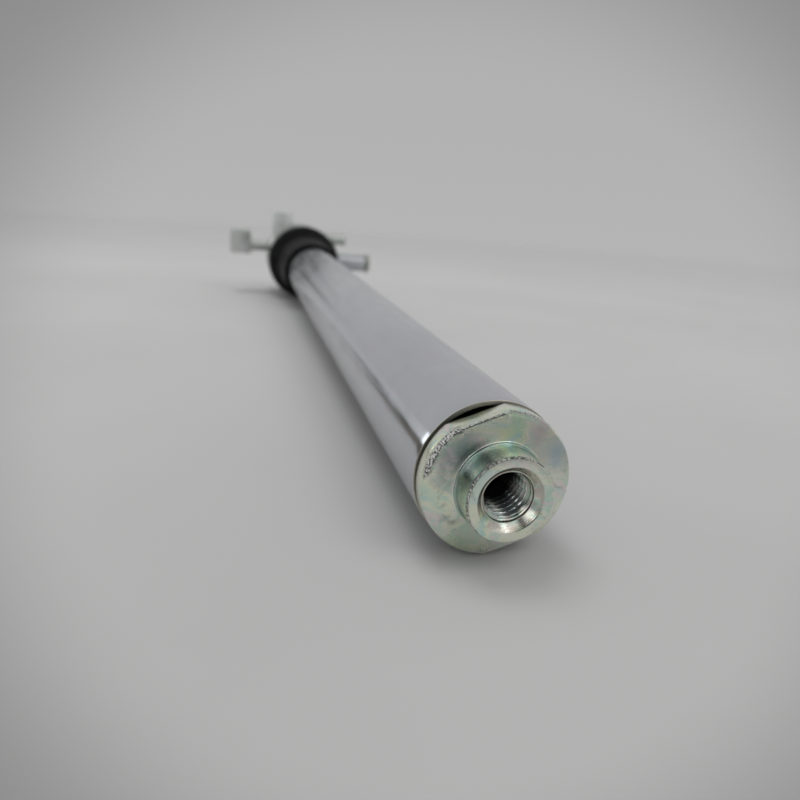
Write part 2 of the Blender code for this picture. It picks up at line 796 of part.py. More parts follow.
def lock_nuts(material, parent):
    places = arm_places()
    lock_nut("paddle_lock_nut", PADDLE_ARM, WIDE_NUT, places["paddle"], material, parent)
    lock_nut("side_lock_nut", SIDE_PEG, WIDE_NUT, places["side"], material, parent)
    lock_nut("short_lock_nut", SHORT_ROD, SLIM_NUT, places["short"], material, parent)


def hub_washer(material, parent):
    start = HUB_END + GAP
    end = start + HUB_WASHER_THICKNESS
    bore = hole(SPINDLE_THREAD_RADIUS + 0.2 * MM)
    profile = ring_profile(bore, HUB_WASHER_RADIUS, start, end, HUB_WASHER_BEVEL)
    add_object("hub_washer", turned(profile), material, parent)


def hub_lock_nut(material, parent):
    """A hexagon nut with a round locking collar."""
    start = HUB_END + HUB_WASHER_THICKNESS + 2 * GAP
    hexagon_bm = hexagon(HUB_NUT_FLATS, start, start + HUB_NUT_HEIGHT)
    nut = add_object("hub_lock_nut", hexagon_bm, material, parent)
    collar_start, collar_end = HUB_NUT_COLLAR_ENDS
    collar = turned_steps([(HUB_NUT_COLLAR, start + collar_start, start + collar_end)])
    cut(nut, "collar", collar, operation="UNION")
    bore = hole(SPINDLE_THREAD_RADIUS + 0.2 * MM)
    cut(nut, "thread", turned_steps([(bore, HUB_END, SPINDLE_END + 5 * MM)]))


# ------------------------------------------------------------------ paddle


def screw_place():
    """The clamp screw's axis, seen from the inner end of the block on its rod."""
    return Matrix.Translation((-SCREW_INSET, 0, SCREW_HEIGHT))


def paddle_block(material, parent):
    """The paddle block, split above its bore so that a screw can pinch it onto the rod."""
    half = BLOCK_DEPTH / 2
    low = (-BLOCK_LENGTH, -half, -BLOCK_BELOW)
    high = (0, half, BLOCK_ABOVE)
    body = add_object("paddle_block", block(low, high, BLOCK_BEVEL), material, parent)
    reach = 2 * BLOCK_LENGTH
    bore = hole(PADDLE_ARM.radius + GAP)
    cut(body, "rod_hole", turned_steps([(bore, -reach, reach)]), matrix=facing((1, 0, 0)))
    slit = block((-reach, -SLIT_WIDTH / 2, 0), (reach, SLIT_WIDTH / 2, reach))
    cut(body, "slit", slit)
    screw_hole = turned_steps([(SCREW_HOLE, -reach, reach)], FINE_ROUND)
    cut(body, "screw_hole", screw_hole, matrix=screw_place())


def paddle_clamp_screw(material, parent):
    """A socket cap screw across the slit, its head towards the drive end."""
    seat = -BLOCK_DEPTH / 2 - GAP
    face = seat - SCREW_HEAD_HEIGHT
    tip = BLOCK_DEPTH / 2 - 1 * MM
    steps = [(SCREW_HEAD_RADIUS, face, seat), (SCREW_RADIUS, seat, tip)]
    bm = turned_steps(steps)
    bm.transform(screw_place())
    screw = add_object("paddle_clamp_screw", bm, material, parent)
    key_socket = hexagon(SCREW_KEY_FLATS, face - 3 * MM, face + SCREW_KEY_DEPTH)
    cut(screw, "key_socket", key_socket, matrix=screw_place())


# ---------------------------------------------------------------- assembly


def build_bearings(bright, brass, rotor, guard):
    for place, start in (("front", FRONT_BEARING), ("rear", REAR_BEARING)):
        bearing_inner_ring(f"{place}_bearing_inner_ring", start, bright, rotor)
        bearing_outer_ring(f"{place}_bearing_outer_ring", start, bright, guard)
        ball_cage(f"{place}_ball_cage", start, brass, guard)


def build_spindle(zinc, bright, spring, rotor):
    drive_flange(zinc, rotor)
    spindle_shaft(bright, rotor)
    spring_pin(spring, rotor)
    inset = 0.2 * MM
    front_clip = FRONT_BEARING_END + GAP + inset
    rear_clip = REAR_BEARING - GAP - inset - SHAFT_CLIP_WIDTH
    shaft_circlip("front_shaft_circlip", front_clip, spring, rotor)
    shaft_circlip("rear_shaft_circlip", rear_clip, spring, rotor)
    spacer_sleeve(bright, rotor)


def build_guard(chrome, alloy, spring, rubber, guard):
    guard_tube(chrome, guard)
    ends = (FRONT_CARRIER_START, FRONT_CARRIER_END)
    bearing_carrier("front_bearing_carrier", FRONT_BEARING, *ends, alloy, guard)
    ends = (REAR_CARRIER_START, REAR_CARRIER_END)
    bearing_carrier("rear_bearing_carrier", REAR_BEARING, *ends, alloy, guard)
    bore_circlip("front_bore_circlip", FRONT_BEARING_END + GAP, spring, guard)
    bore_circlip("rear_bore_circlip", REAR_CLIP_START, spring, guard)
    wave_washer(spring, guard)
    flange_neck = NECK_RADIUS + GAP
    seal_ring("front_dust_seal", flange_neck, CARRIER_RADIUS, DUST_SEAL, rubber, guard)
    sleeve = SLEEVE_RADIUS + GAP
    seal_ring("rear_shaft_seal", sleeve, BORE_CLIP_OUTER, SHAFT_SEAL, rubber, guard)
    splash_boot(rubber, guard)


def build_head(zinc, chrome, bright, rotor):
    mixing_head_hub(zinc, rotor)
    hub_drive_key(bright, rotor)
    hub_washer(zinc, rotor)
    hub_lock_nut(zinc, rotor)
    paddle_arm(zinc, rotor)
    short_rod(zinc, rotor)
    side_peg(chrome, rotor)
    side_peg_cap(chrome, rotor)
    top_peg(chrome, rotor)
    top_peg_washer(bright, rotor)
    lock_nuts(zinc, rotor)


def main():
    clear_scene()
    zinc = make_material("zinc_plated_steel", (0.56, 0.58, 0.53), 0.32, 1.0)
    chrome = make_material("chromed_steel", (0.62, 0.62, 0.65), 0.12, 1.0)
    bright = make_material("bright_steel", (0.60, 0.60, 0.60), 0.30, 1.0)
    spring = make_material("spring_steel", (0.14, 0.14, 0.15), 0.45, 1.0)
    rubber = make_material("black_rubber", (0.012, 0.012, 0.013), 0.55, 0.0)
    alloy = make_material("turned_aluminium", (0.66, 0.67, 0.68), 0.38, 1.0)
    brass = make_material("cage_brass", (0.62, 0.45, 0.20), 0.35, 1.0)

    origin = (0, -MIXER_LENGTH / 2, AXIS_HEIGHT)
    rotor = make_empty("spindle_axis", origin)
    guard = make_empty("guard_axis", origin)
    block_end = (BLOCK_LENGTH - SIDE_REACH, FRONT_STATION, PADDLE_ARM_HEIGHT)
    paddle = make_empty("paddle_axis", block_end, rotor)

    build_spindle(zinc, bright, spring, rotor)
    build_bearings(bright, brass, rotor, guard)
    build_guard(chrome, alloy, spring, rubber, guard)
    build_head(zinc, chrome, bright, rotor)
    paddle_block(zinc, paddle)
    paddle_clamp_screw(zinc, paddle)


main()
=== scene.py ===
import json
import math
from typing import NamedTuple

import bmesh
import bpy
import numpy as np
from mathutils import Matrix, Vector

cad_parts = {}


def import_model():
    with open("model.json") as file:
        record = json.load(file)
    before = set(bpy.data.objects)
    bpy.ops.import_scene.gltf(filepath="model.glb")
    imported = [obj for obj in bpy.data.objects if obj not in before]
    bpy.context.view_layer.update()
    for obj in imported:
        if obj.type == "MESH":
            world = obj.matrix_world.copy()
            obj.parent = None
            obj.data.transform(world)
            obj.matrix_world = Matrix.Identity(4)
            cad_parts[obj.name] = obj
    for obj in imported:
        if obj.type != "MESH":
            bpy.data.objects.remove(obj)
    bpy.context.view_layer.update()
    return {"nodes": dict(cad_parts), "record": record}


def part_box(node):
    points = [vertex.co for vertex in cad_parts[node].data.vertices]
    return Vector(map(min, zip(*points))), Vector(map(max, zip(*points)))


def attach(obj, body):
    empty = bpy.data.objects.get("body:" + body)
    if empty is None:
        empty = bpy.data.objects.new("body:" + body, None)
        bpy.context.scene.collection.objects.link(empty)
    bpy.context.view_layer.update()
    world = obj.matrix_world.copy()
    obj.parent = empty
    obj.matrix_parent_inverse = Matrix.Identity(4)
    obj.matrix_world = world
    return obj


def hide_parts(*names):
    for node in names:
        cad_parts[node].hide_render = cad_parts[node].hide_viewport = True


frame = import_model()

MM = 0.001
TURN = 2 * math.pi
SAME_POINT = 1e-4 * MM  # points closer together than this become one
SLIVER = 1e-3 * MM  # shorter edges are only what a boolean leaves over
record = frame["record"]
BODY_OF = {
    node: body
    for body, nodes in record["behaviour"]["bodies"].items()
    for node in nodes
}
SLOT_OF = {part["node"]: part["material_slot"] for part in record["subparts"]}

# The spindle axis runs along Y. "along" is the distance from the drive face.
tube_low, tube_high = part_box("guard_tube")
AXIS_X = (tube_low.x + tube_high.x) / 2
AXIS_Z = (tube_low.z + tube_high.z) / 2
FACE_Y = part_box("drive_flange")[0].y
MOUTH_LENGTH = 3.6 * MM  # the tube's mouth is eased over this length
MOUTH_EASE = 0.10 * MM
TUBE_WALL = 1.5 * MM
BARE_END = 0.12 * MM  # the tube's cut end has no chrome
ON_AXIS = Matrix.Translation((AXIS_X, FACE_Y, AXIS_Z))


def along(node):
    """Where a node starts and ends, as distances from the drive face."""
    low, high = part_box(node)
    return low.y - FACE_Y, high.y - FACE_Y


def half_width(node):
    low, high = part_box(node)
    return (high.x - low.x) / 2


# ------------------------------------------------------------------ meshes


def mesh_object(name, verts, faces, smooth_angle=32):
    mesh = bpy.data.meshes.new(name)
    mesh.from_pydata([tuple(v) for v in verts], [], [tuple(f) for f in faces])
    bm = bmesh.new()
    bm.from_mesh(mesh)
    bmesh.ops.remove_doubles(bm, verts=bm.verts, dist=SAME_POINT)
    bmesh.ops.recalc_face_normals(bm, faces=bm.faces)
    if bm.calc_volume(signed=True) < 0:
        bmesh.ops.reverse_faces(bm, faces=bm.faces)
    bm.to_mesh(mesh)
    bm.free()
    mesh.shade_smooth()
    mesh.set_sharp_from_angle(angle=math.radians(smooth_angle))
    obj = bpy.data.objects.new(name, mesh)
    bpy.context.scene.collection.objects.link(obj)
    return obj


def rounded(corners, steps=4):
    """A closed (radius, along) outline, from corners given as (radius, along, fillet).

    Each corner with a fillet is rounded by an arc of that radius.
    """
    points = []
    count = len(corners)
    for i, corner in enumerate(corners):
        here = np.array(corner[:2], float)
        fillet = corner[2] if len(corner) > 2 else 0
        before = np.array(corners[i - 1][:2], float) - here
        after = np.array(corners[(i + 1) % count][:2], float) - here
        if fillet <= 0:
            points.append(here)
            continue
        before /= np.linalg.norm(before)
        after /= np.linalg.norm(after)
        half = math.acos(max(-1, min(1, before @ after))) / 2
        if half > math.pi / 2 - 0.01:
            points.append(here)
            continue
        reach = fillet / math.tan(half)
        bisector = (before + after) / np.linalg.norm(before + after)
        centre = here + bisector * fillet / math.sin(half)
        start = here + before * reach - centre
        end = here + after * reach - centre
        sweep = math.pi - 2 * half
        for step in range(steps + 1):
            t = step / steps
            blend = math.sin((1 - t) * sweep) * start + math.sin(t * sweep) * end
            points.append(centre + blend / math.sin(sweep))
    return [tuple(p) for p in points]


def polar_surface(name, rows, columns, place=ON_AXIS, closed=True, smooth_angle=32):
    """A surface round the Y axis. rows holds functions or (radius, along) pairs.

    A row function takes the array of angles and gives the radii and the distances.
    """
    angles = np.arange(columns) * TURN / columns
    grid = []
    for row in rows:
        radius, distance = row(angles) if callable(row) else row
        radius = np.broadcast_to(np.asarray(radius, float), angles.shape)
        distance = np.broadcast_to(np.asarray(distance, float), angles.shape)
        points = np.stack(
            [radius * np.cos(angles), distance, radius * np.sin(angles)], axis=1
        )
        grid.append(points)
    verts = np.concatenate(grid)
    faces = []
    row_pairs = [(i, i + 1) for i in range(len(grid) - 1)]
    if closed:
        row_pairs.append((len(grid) - 1, 0))
    for here, after in row_pairs:
        for column in range(columns):
            right = (column + 1) % columns
            faces.append(
                (
                    here * columns + column,
                    here * columns + right,
                    after * columns + right,
                    after * columns + column,
                )
            )
    obj = mesh_object(name, verts, faces, smooth_angle)
    obj.data.transform(place)
    return obj


def turned_solid(name, corners, columns=96, place=ON_AXIS, steps=4):
    """A solid of revolution whose outline starts and ends on the axis."""
    outline = rounded(corners, steps)
    return polar_surface(name, outline, columns, place, closed=False)


def apply_modifiers(obj):
    graph = bpy.context.evaluated_depsgraph_get()
    mesh = bpy.data.meshes.new_from_object(obj.evaluated_get(graph))
    obj.modifiers.clear()
    obj.data = mesh
    return obj


def drop_slivers(mesh):
    """Removes the edges and faces without size that a boolean can leave."""
    bm = bmesh.new()
    bm.from_mesh(mesh)
    bmesh.ops.dissolve_degenerate(bm, edges=bm.edges, dist=SLIVER)
    bm.to_mesh(mesh)
    bm.free()


def boolean(obj, others, operation="DIFFERENCE"):
    """Cuts or joins others into obj, and removes them."""
    for other in others:
        modifier = obj.modifiers.new(other.name, "BOOLEAN")
        modifier.operation = operation
        modifier.object = other
    bpy.context.view_layer.update()
    apply_modifiers(obj)
    drop_slivers(obj.data)
    for other in others:
        bpy.data.objects.remove(other, do_unlink=True)
    return obj


def bevel_edges(obj, width, segments=3, angle=30):
    modifier = obj.modifiers.new("edge", "BEVEL")
    modifier.width = width
    modifier.segments = segments
    modifier.limit_method = "ANGLE"
    modifier.angle_limit = math.radians(angle)
    modifier.use_clamp_overlap = True
    bpy.context.view_layer.update()
    apply_modifiers(obj)
    obj.data.shade_smooth()
    obj.data.set_sharp_from_angle(angle=math.radians(38))
    return obj


def box_object(name, low, high, place=Matrix.Identity(4)):
    bm = bmesh.new()
    size = Vector(high) - Vector(low)
    middle = (Vector(high) + Vector(low)) / 2
    matrix = place @ Matrix.Translation(middle) @ Matrix.Diagonal((*size, 1))
    bmesh.ops.create_cube(bm, size=1, matrix=matrix)
    mesh = bpy.data.meshes.new(name)
    bm.to_mesh(mesh)
    bm.free()
    obj = bpy.data.objects.new(name, mesh)
    bpy.context.scene.collection.objects.link(obj)
    return obj


def stand_for(obj, *nodes):
    """The piece replaces CAD nodes and rides on their body."""
    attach(obj, BODY_OF[nodes[0]])
    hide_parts(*nodes)
    return obj


# --------------------------------------------------------------- materials


class Nodes:
    """Small helper that adds nodes to a tree and links them."""

    def __init__(self, tree):
        self.tree = tree

    def node(self, kind, **inputs):
        node = self.tree.nodes.new(kind)
        for key, value in inputs.items():
            self.put(node, key, value)
        return node

    def put(self, node, key, value):
        """Sets or links an input, named with _ for spaces, or numbered as in in0, in1, ..."""
        name = key.replace("_", " ")
        socket = node.inputs[int(key[2:])] if key.startswith("in") else node.inputs[name]
        if isinstance(value, bpy.types.NodeSocket):
            self.tree.links.new(value, socket)
        else:
            socket.default_value = value

    def math(self, operation, first, second=0.0, third=0.0):
        node = self.node("ShaderNodeMath", in0=first, in1=second, in2=third)
        node.operation = operation
        return node.outputs[0]

    def distance(self, first, second):
        node = self.node("ShaderNodeVectorMath", in0=first, in1=second)
        node.operation = "DISTANCE"
        return node.outputs["Value"]

    def ramp(self, value, stops):
        node = self.node("ShaderNodeValToRGB", Fac=value)
        elements = node.color_ramp.elements
        while len(elements) < len(stops):
            elements.new(0.5)
        for element, (position, colour) in zip(elements, stops):
            element.position = position
            if isinstance(colour, (int, float)):
                colour = (colour, colour, colour)
            element.color = (*colour, 1.0)
        return node.outputs["Color"]

    def spread(self, value, low, high, out_low, out_high, smooth=False):
        """Maps value from low..high to out_low..out_high, clamped."""
        node = self.node("ShaderNodeMapRange", Value=value)
        if smooth:
            node.interpolation_type = "SMOOTHSTEP"
        for key, number in zip(("From Min", "From Max", "To Min", "To Max"),
                               (low, high, out_low, out_high)):
            node.inputs[key].default_value = number
        return node.outputs["Result"]

    def mix(self, factor, first, second, blend="MIX"):
        node = self.tree.nodes.new("ShaderNodeMix")
        node.data_type = "RGBA"
        node.blend_type = blend
        for index, value in ((0, factor), (6, first), (7, second)):
            if isinstance(value, bpy.types.NodeSocket):
                self.tree.links.new(value, node.inputs[index])
            elif index and len(value) == 3:
                node.inputs[index].default_value = (*value, 1.0)
            else:
                node.inputs[index].default_value = value
        return node.outputs[2]


class Shader(Nodes):
    """Builds one node material round a Principled BSDF."""

    def __init__(self, name):
        self.material = bpy.data.materials.new(name)
        self.material.use_nodes = True
        super().__init__(self.material.node_tree)
        self.bsdf = self.tree.nodes["Principled BSDF"]
        self.coords = self.node("ShaderNodeTexCoord").outputs["Object"]

    def set(self, **inputs):
        for key, value in inputs.items():
            self.put(self.bsdf, key, value)

    def show(self, output):
        """Makes output the surface, in place of the Principled BSDF."""
        surface = self.tree.nodes["Material Output"].inputs["Surface"]
        self.tree.links.new(output, surface)

    def noise(self, scale, detail=3.0, roughness=0.5, distortion=0.0, vector=None):
        node = self.node(
            "ShaderNodeTexNoise",
            Vector=vector or self.coords,
            Scale=scale,
            Detail=detail,
            Roughness=roughness,
            Distortion=distortion,
        )
        return node.outputs["Fac"]

    def stretch(self, scale, rotation=(0, 0, 0)):
        node = self.node("ShaderNodeMapping", Vector=self.coords)
        node.inputs["Scale"].default_value = scale
        node.inputs["Rotation"].default_value = rotation
        return node.outputs["Vector"]

    def bump(self, height, strength, distance, normal=None):
        node = self.node("ShaderNodeBump", Height=height, Strength=strength, Distance=distance)
        if normal:
            self.put(node, "Normal", normal)
        return node.outputs["Normal"]

    def axis_radius(self, centre):
        """Distance from a line along Y through centre, and the place along that line."""
        parts = self.node("ShaderNodeSeparateXYZ", Vector=self.coords)
        dx = self.math("SUBTRACT", parts.outputs["X"], centre[0])
        dz = self.math("SUBTRACT", parts.outputs["Z"], centre[1])
        squares = self.math("ADD", self.math("MULTIPLY", dx, dx), self.math("MULTIPLY", dz, dz))
        return self.math("SQRT", squares), parts.outputs["Y"]


# Colours of the clear passivation film, in the order of its thickness.
ZINC_FILM = [
    (0.26, (0.55, 0.72, 0.84)),
    (0.35, (0.48, 0.74, 0.67)),
    (0.43, (0.74, 0.84, 0.60)),
    (0.50, (0.86, 0.84, 0.75)),
    (0.56, (0.54, 0.76, 0.64)),
    (0.63, (0.84, 0.70, 0.74)),
    (0.72, (0.56, 0.73, 0.73)),
]
TURNING_FEED = 0.35 * MM  # from one turning mark to the next


def zinc_film(s, richness, plain):
    """Colour of the passivation: green, yellow, pink and blue drifts over plain."""
    streaks = s.stretch((78, 110, 150), (0, math.radians(28), 0))
    drift = s.noise(1.0, 4, 0.5, 0.7, streaks)
    hue = s.math("ADD", drift, s.math("MULTIPLY", s.noise(430, 3, 0.6, 0.8), 0.14))
    film = s.ramp(s.math("SUBTRACT", hue, 0.07), ZINC_FILM)
    share = s.spread(s.noise(52, 4, 0.6), 0.38, 0.60, richness, 0.35 * richness)
    return s.mix(share, plain, film)


def zinc_pits(s):
    """1 at the middle of small pits, which come in patches."""
    specks = s.node("ShaderNodeTexVoronoi", Vector=s.coords, Scale=1300.0, Randomness=1.0)
    near = s.spread(specks.outputs["Distance"], 0.08, 0.26, 1.0, 0.0)
    where = s.spread(s.noise(150, 3, 0.6), 0.58, 0.68, 0.0, 0.8)
    return s.math("MULTIPLY", near, where)


def zinc_surface(s, colour, low, high, worn=0.0):
    """Plated steel with a roughness from low to high, torn and polished where worn is 1, with
    painted bright and dark glints there.
    """
    smudge = s.spread(s.noise(230, 5, 0.68, 0.7), 0.58, 0.72, 0.0, 0.45)
    colour = s.mix(smudge, colour, (0.34, 0.35, 0.31))
    # Painted highlight: the burred edge is lightened towards white where its glints show.
    colour = s.mix(s.spread(worn, 0.05, 0.6, 0.0, 1.0), colour, (0.92, 0.92, 0.88))
    pit = zinc_pits(s)
    # Painted dark glints: near-black flecks along the burred edge, mixed in with the real pits.
    torn = s.spread(s.noise(1900, 2, 0.6), 0.48, 0.53, 0.0, 1.0)
    dark_glint = s.math("MULTIPLY", s.spread(worn, 0.1, 0.5, 0.0, 0.8), torn)
    colour = s.mix(s.math("MAXIMUM", pit, dark_glint), colour, (0.03, 0.03, 0.03))
    s.set(Base_Color=colour, Metallic=1.0)

    rough = s.spread(s.noise(300, 4, 0.6), 0.3, 0.75, low, high)
    rough = s.math("ADD", rough, s.math("MULTIPLY", smudge, 0.2))
    polish = s.math("SUBTRACT", 1.0, s.math("MULTIPLY", worn, 0.7))
    s.set(Roughness=s.math("MULTIPLY", rough, polish))

    radius, _ = s.axis_radius((AXIS_X, AXIS_Z))
    wobble = s.math("MULTIPLY", s.noise(60, 2), 0.6 * MM)
    phase = s.math("MULTIPLY", s.math("ADD", radius, wobble), TURN / TURNING_FEED)
    normal = s.bump(s.math("SINE", phase), 0.08, 0.02 * MM)
    normal = s.bump(s.noise(2600, 3, 0.6), 0.18, 0.03 * MM, normal)
    normal = s.bump(s.noise(420, 3, 0.55), 0.22, 0.12 * MM, normal)
    normal = s.bump(pit, -0.5, 0.05 * MM, normal)
    burr = s.math("MULTIPLY", s.noise(2000, 3, 0.75), worn)
    s.set(Normal=s.bump(burr, 1.0, 1.1 * MM, normal))


def zinc_plated(name="zinc_finish", colour=(0.57, 0.585, 0.565), low=0.34, high=0.50):
    """Zinc plate in plain daylight grey, with only a hint of colour."""
    s = Shader(name)
    zinc_surface(s, zinc_film(s, 0.22, colour), low, high)
    return s.material


# Coloured places on the flange: film tints, and at 135 to 172 degrees a painted dark reflection
# beside the boss, tinted teal, and small dark spots lower left: degrees from +X towards +Z,
# radius and size in mm, colour.
FACE_BLOTS = [
    (81, 17.8, 3.4, (0.40, 0.72, 0.52)),
    (91, 14.2, 2.6, (0.86, 0.93, 0.60)),
    (57, 17.6, 3.4, (0.68, 0.56, 0.60)),
    (30, 17.6, 4.0, (0.42, 0.60, 0.76)),
    (135, 15.2, 4.6, (0.15, 0.25, 0.28)),
    (158, 16.4, 3.0, (0.24, 0.29, 0.28)),
    (172, 15.0, 3.0, (0.20, 0.25, 0.24)),
    (152, 13.6, 2.6, (0.22, 0.33, 0.33)),
    (199, 15.2, 0.9, (0.34, 0.35, 0.33)),
    (212, 16.2, 1.5, (0.26, 0.27, 0.25)),
    (222, 15.0, 1.1, (0.34, 0.35, 0.33)),
    (240, 17.8, 4.4, (0.50, 0.68, 0.47)),
]


def blots(s, colour):
    """Mixes the film tints and the painted dark reflection of the flange's face into colour, with
    ragged edges.
    """
    ripple = s.math("MULTIPLY", s.math("SUBTRACT", s.noise(260, 4, 0.65), 0.5), 7 * MM)
    for degrees, out, size, tint in FACE_BLOTS:
        turn = math.radians(degrees)
        place = (
            AXIS_X + out * MM * math.cos(turn),
            FACE_Y + 8.6 * MM,
            AXIS_Z + out * MM * math.sin(turn),
        )
        gap = s.math("ADD", s.distance(s.coords, place), ripple)
        share = s.spread(gap, -0.2 * size * MM, 1.3 * size * MM, 0.75, 0.0)
        colour = s.mix(share, colour, tint)
    return colour


def flange_finish():
    """The bright face of the flange: strong film colours with a painted dark reflection, painted
    shade in the bore and in the gap before the tube, painted highlights on the thread crests, and
    burred edges with painted glints.
    """
    s = Shader("flange_finish")
    radius, distance = s.axis_radius((AXIS_X, AXIS_Z))
    colour = blots(s, zinc_film(s, 0.95, (0.88, 0.87, 0.75)))

    side = s.spread(distance, FACE_Y + 0.9 * MM, FACE_Y + 4 * MM, 0.0, 0.7)
    boss = s.math("MULTIPLY", side, s.spread(radius, 12.1 * MM, 12.6 * MM, 1.0, 0.0))
    colour = s.mix(boss, colour, (0.24, 0.36, 0.33))

    sink = s.math("MULTIPLY", s.spread(radius, 8.9 * MM, 9.1 * MM, 1.0, 0.0), 0.65)
    rust = s.spread(s.noise(240, 4, 0.6, 0.8), 0.42, 0.58, 0.0, 1.0)
    colour = s.mix(s.math("MULTIPLY", sink, rust), colour, (0.56, 0.45, 0.42))

    # Painted highlight: the thread crests are lightened to bluish white.
    crest = s.spread(radius, 6.0 * MM, 6.25 * MM, 0.8, 0.0)
    colour = s.mix(crest, colour, (0.86, 0.90, 0.92))
    # Painted shade: the threaded bore turns near-black deeper in.
    inside = s.spread(radius, 7.15 * MM, 7.3 * MM, 1.0, 0.0)
    deep = s.spread(distance, FACE_Y + 5 * MM, FACE_Y + 14 * MM, 0.0, 0.94)
    colour = s.mix(s.math("MULTIPLY", inside, deep), colour, (0.012, 0.013, 0.012))

    # Painted shadow: a thin near-black band round the flange's side, in the gap in front of the
    # tube's mouth.
    gap_shade = s.spread(distance, FACE_Y + 14.3 * MM, FACE_Y + 14.6 * MM, 0.0, 0.93)
    colour = s.mix(gap_shade, colour, (0.03, 0.03, 0.025))
    worn = s.node("ShaderNodeAttribute")
    worn.attribute_name = "wear"
    zinc_surface(s, colour, 0.19, 0.30, worn.outputs["Fac"])
    return s.material


def chrome_plated(name="chrome_finish", mouth=None):
    """Chromium plate with faint lengthwise smears and hairlines, polished round its axis.

    With a mouth, given as a Y coordinate, the cut end short of it is bare and brownish.
    """
    s = Shader(name)
    smear = s.noise(26, 5, 0.6, 0.8)
    plate = s.ramp(
        smear,
        [
            (0.3, (0.535, 0.560, 0.585)),
            (0.45, (0.575, 0.575, 0.615)),
            (0.55, (0.560, 0.585, 0.600)),
            (0.7, (0.605, 0.605, 0.625)),
        ],
    )
    wipes = s.noise(1.0, 4, 0.6, 0.3, s.stretch((240, 40, 240)))
    rough = s.spread(wipes, 0.35, 0.75, 0.12, 0.20)
    satin = s.math("ADD", rough, 0.16)
    lines = s.noise(1.0, 3, 0.6, 0.0, s.stretch((60, 2600, 60)))
    normal = s.bump(lines, 0.04, 0.02 * MM)
    s.set(Metallic=1.0)
    if mouth is None:
        s.set(Base_Color=s.mix(0.3, plate, (0.36, 0.36, 0.37)), Roughness=satin)
    else:
        _, distance = s.axis_radius((AXIS_X, AXIS_Z))
        bare = s.spread(distance, mouth, mouth + 0.06 * MM, 1.0, 0.0)
        grime = s.mix(s.noise(700, 4, 0.7), (0.66, 0.64, 0.55), (0.46, 0.44, 0.36))
        s.set(Base_Color=s.mix(bare, plate, grime))
        s.set(Roughness=s.math("ADD", rough, s.math("MULTIPLY", bare, 0.18)))
        along_tube = s.node("ShaderNodeCombineXYZ", Y=1.0)
        s.set(Tangent=along_tube.outputs["Vector"], Anisotropic=0.85)
    s.set(Normal=s.bump(s.noise(9, 2, 0.4), 0.05, 1.0 * MM, normal))
    return s.material


def black_rubber(name="rubber_finish"):
    """Moulded black rubber: fine grain, a dusty bloom and paler scuffs."""
    s = Shader(name)
    bloom = s.spread(s.noise(55, 5, 0.65, 0.5), 0.42, 0.75, 0.0, 0.6)
    base = s.mix(bloom, (0.0015, 0.0015, 0.0017), (0.004, 0.004, 0.0045))
    rubbed = s.noise(1.0, 4, 0.7, 0.4, s.stretch((380, 60, 380)))
    scuff = s.spread(rubbed, 0.68, 0.82, 0.0, 0.35)
    s.set(Base_Color=s.mix(scuff, base, (0.022, 0.022, 0.023)), IOR=1.12)
    s.set(Roughness=s.spread(s.noise(240, 4, 0.6), 0.3, 0.7, 0.36, 0.55))
    normal = s.bump(s.noise(2400, 3, 0.7), 0.35, 0.06 * MM)
    s.set(Normal=s.bump(s.noise(160, 3), 0.25, 0.25 * MM, normal))
    return s.material


def plain_steel(name, colour, low, high, scale=(600, 600, 600)):
    """Machined metal for the inner parts: tone drift, tool marks and worn roughness."""
    s = Shader(name)
    dark = tuple(0.8 * part for part in colour)
    s.set(Base_Color=s.mix(s.noise(120, 4, 0.6), colour, dark), Metallic=1.0)
    s.set(Roughness=s.spread(s.noise(380, 4, 0.6), 0.3, 0.7, low, high))
    s.set(Normal=s.bump(s.noise(1.0, 3, 0.6, 0.0, s.stretch(scale)), 0.2, 0.03 * MM))
    return s.material


FINISHES = {
    "zinc_plated_steel": zinc_plated(),
    "chromed_steel": chrome_plated(),
    "black_rubber": black_rubber(),
    "bright_steel": plain_steel("bright_steel_finish", (0.60, 0.60, 0.61), 0.18, 0.36),
    "spring_steel": plain_steel("spring_steel_finish", (0.16, 0.16, 0.17), 0.3, 0.5),
    "turned_aluminium": plain_steel("aluminium_finish", (0.74, 0.75, 0.76), 0.25, 0.42),
    "cage_brass": plain_steel("brass_finish", (0.72, 0.52, 0.22), 0.22, 0.4),
}


def finish_object(obj, slot):
    obj.data.materials.clear()
    obj.data.materials.append(FINISHES[slot])


def fine(obj, *nodes, finish=None):
    """Puts a detailed piece in place of its CAD nodes and gives it their finish."""
    finish_object(obj, SLOT_OF[nodes[0]])
    if finish:
        obj.data.materials[0] = finish
    return stand_for(obj, *nodes)


# ------------------------------------------------------------ drive flange

RIM = half_width("drive_flange") - 0.15 * MM  # so that the tube's mouth shows round it
FLAT = 19.0 * MM  # from the axis to each wrench flat
FLAT_ANGLE = math.radians(110)  # where one flat faces, from +X towards +Z
BOSS, BOSS_HEIGHT = 11.75 * MM, 8.3 * MM
BOSS_ROOT = 12.35 * MM
SINK = 9.1 * MM  # mouth radius of the countersink
FACE_EDGE = RIM - 0.1 * MM
FACE_DISH = 0.8 * MM  # the face leans back this far towards its edge
FACE_END = BOSS_HEIGHT + FACE_DISH
FLANGE_BACK = 15.1 * MM
NECK = 11.0 * MM
PITCH, MINOR, MAJOR = 2.0 * MM, 5.93 * MM, 7.0 * MM
THREAD_START, THREAD_END = 1.95 * MM, 20.0 * MM
SPINDLE_SEAT = 26.0 * MM
SPINDLE_BORE = 7.66 * MM
FLANGE_COLUMNS = 640


def between(angles, low, high, soft):
    """1 from low to high degrees, easing to 0 over soft degrees on either side."""
    middle = (low + high) / 2
    away = np.abs(np.mod(np.degrees(angles) - middle + 180, 360) - 180)
    return np.clip(((high - low) / 2 + soft - away) / soft, 0, 1)


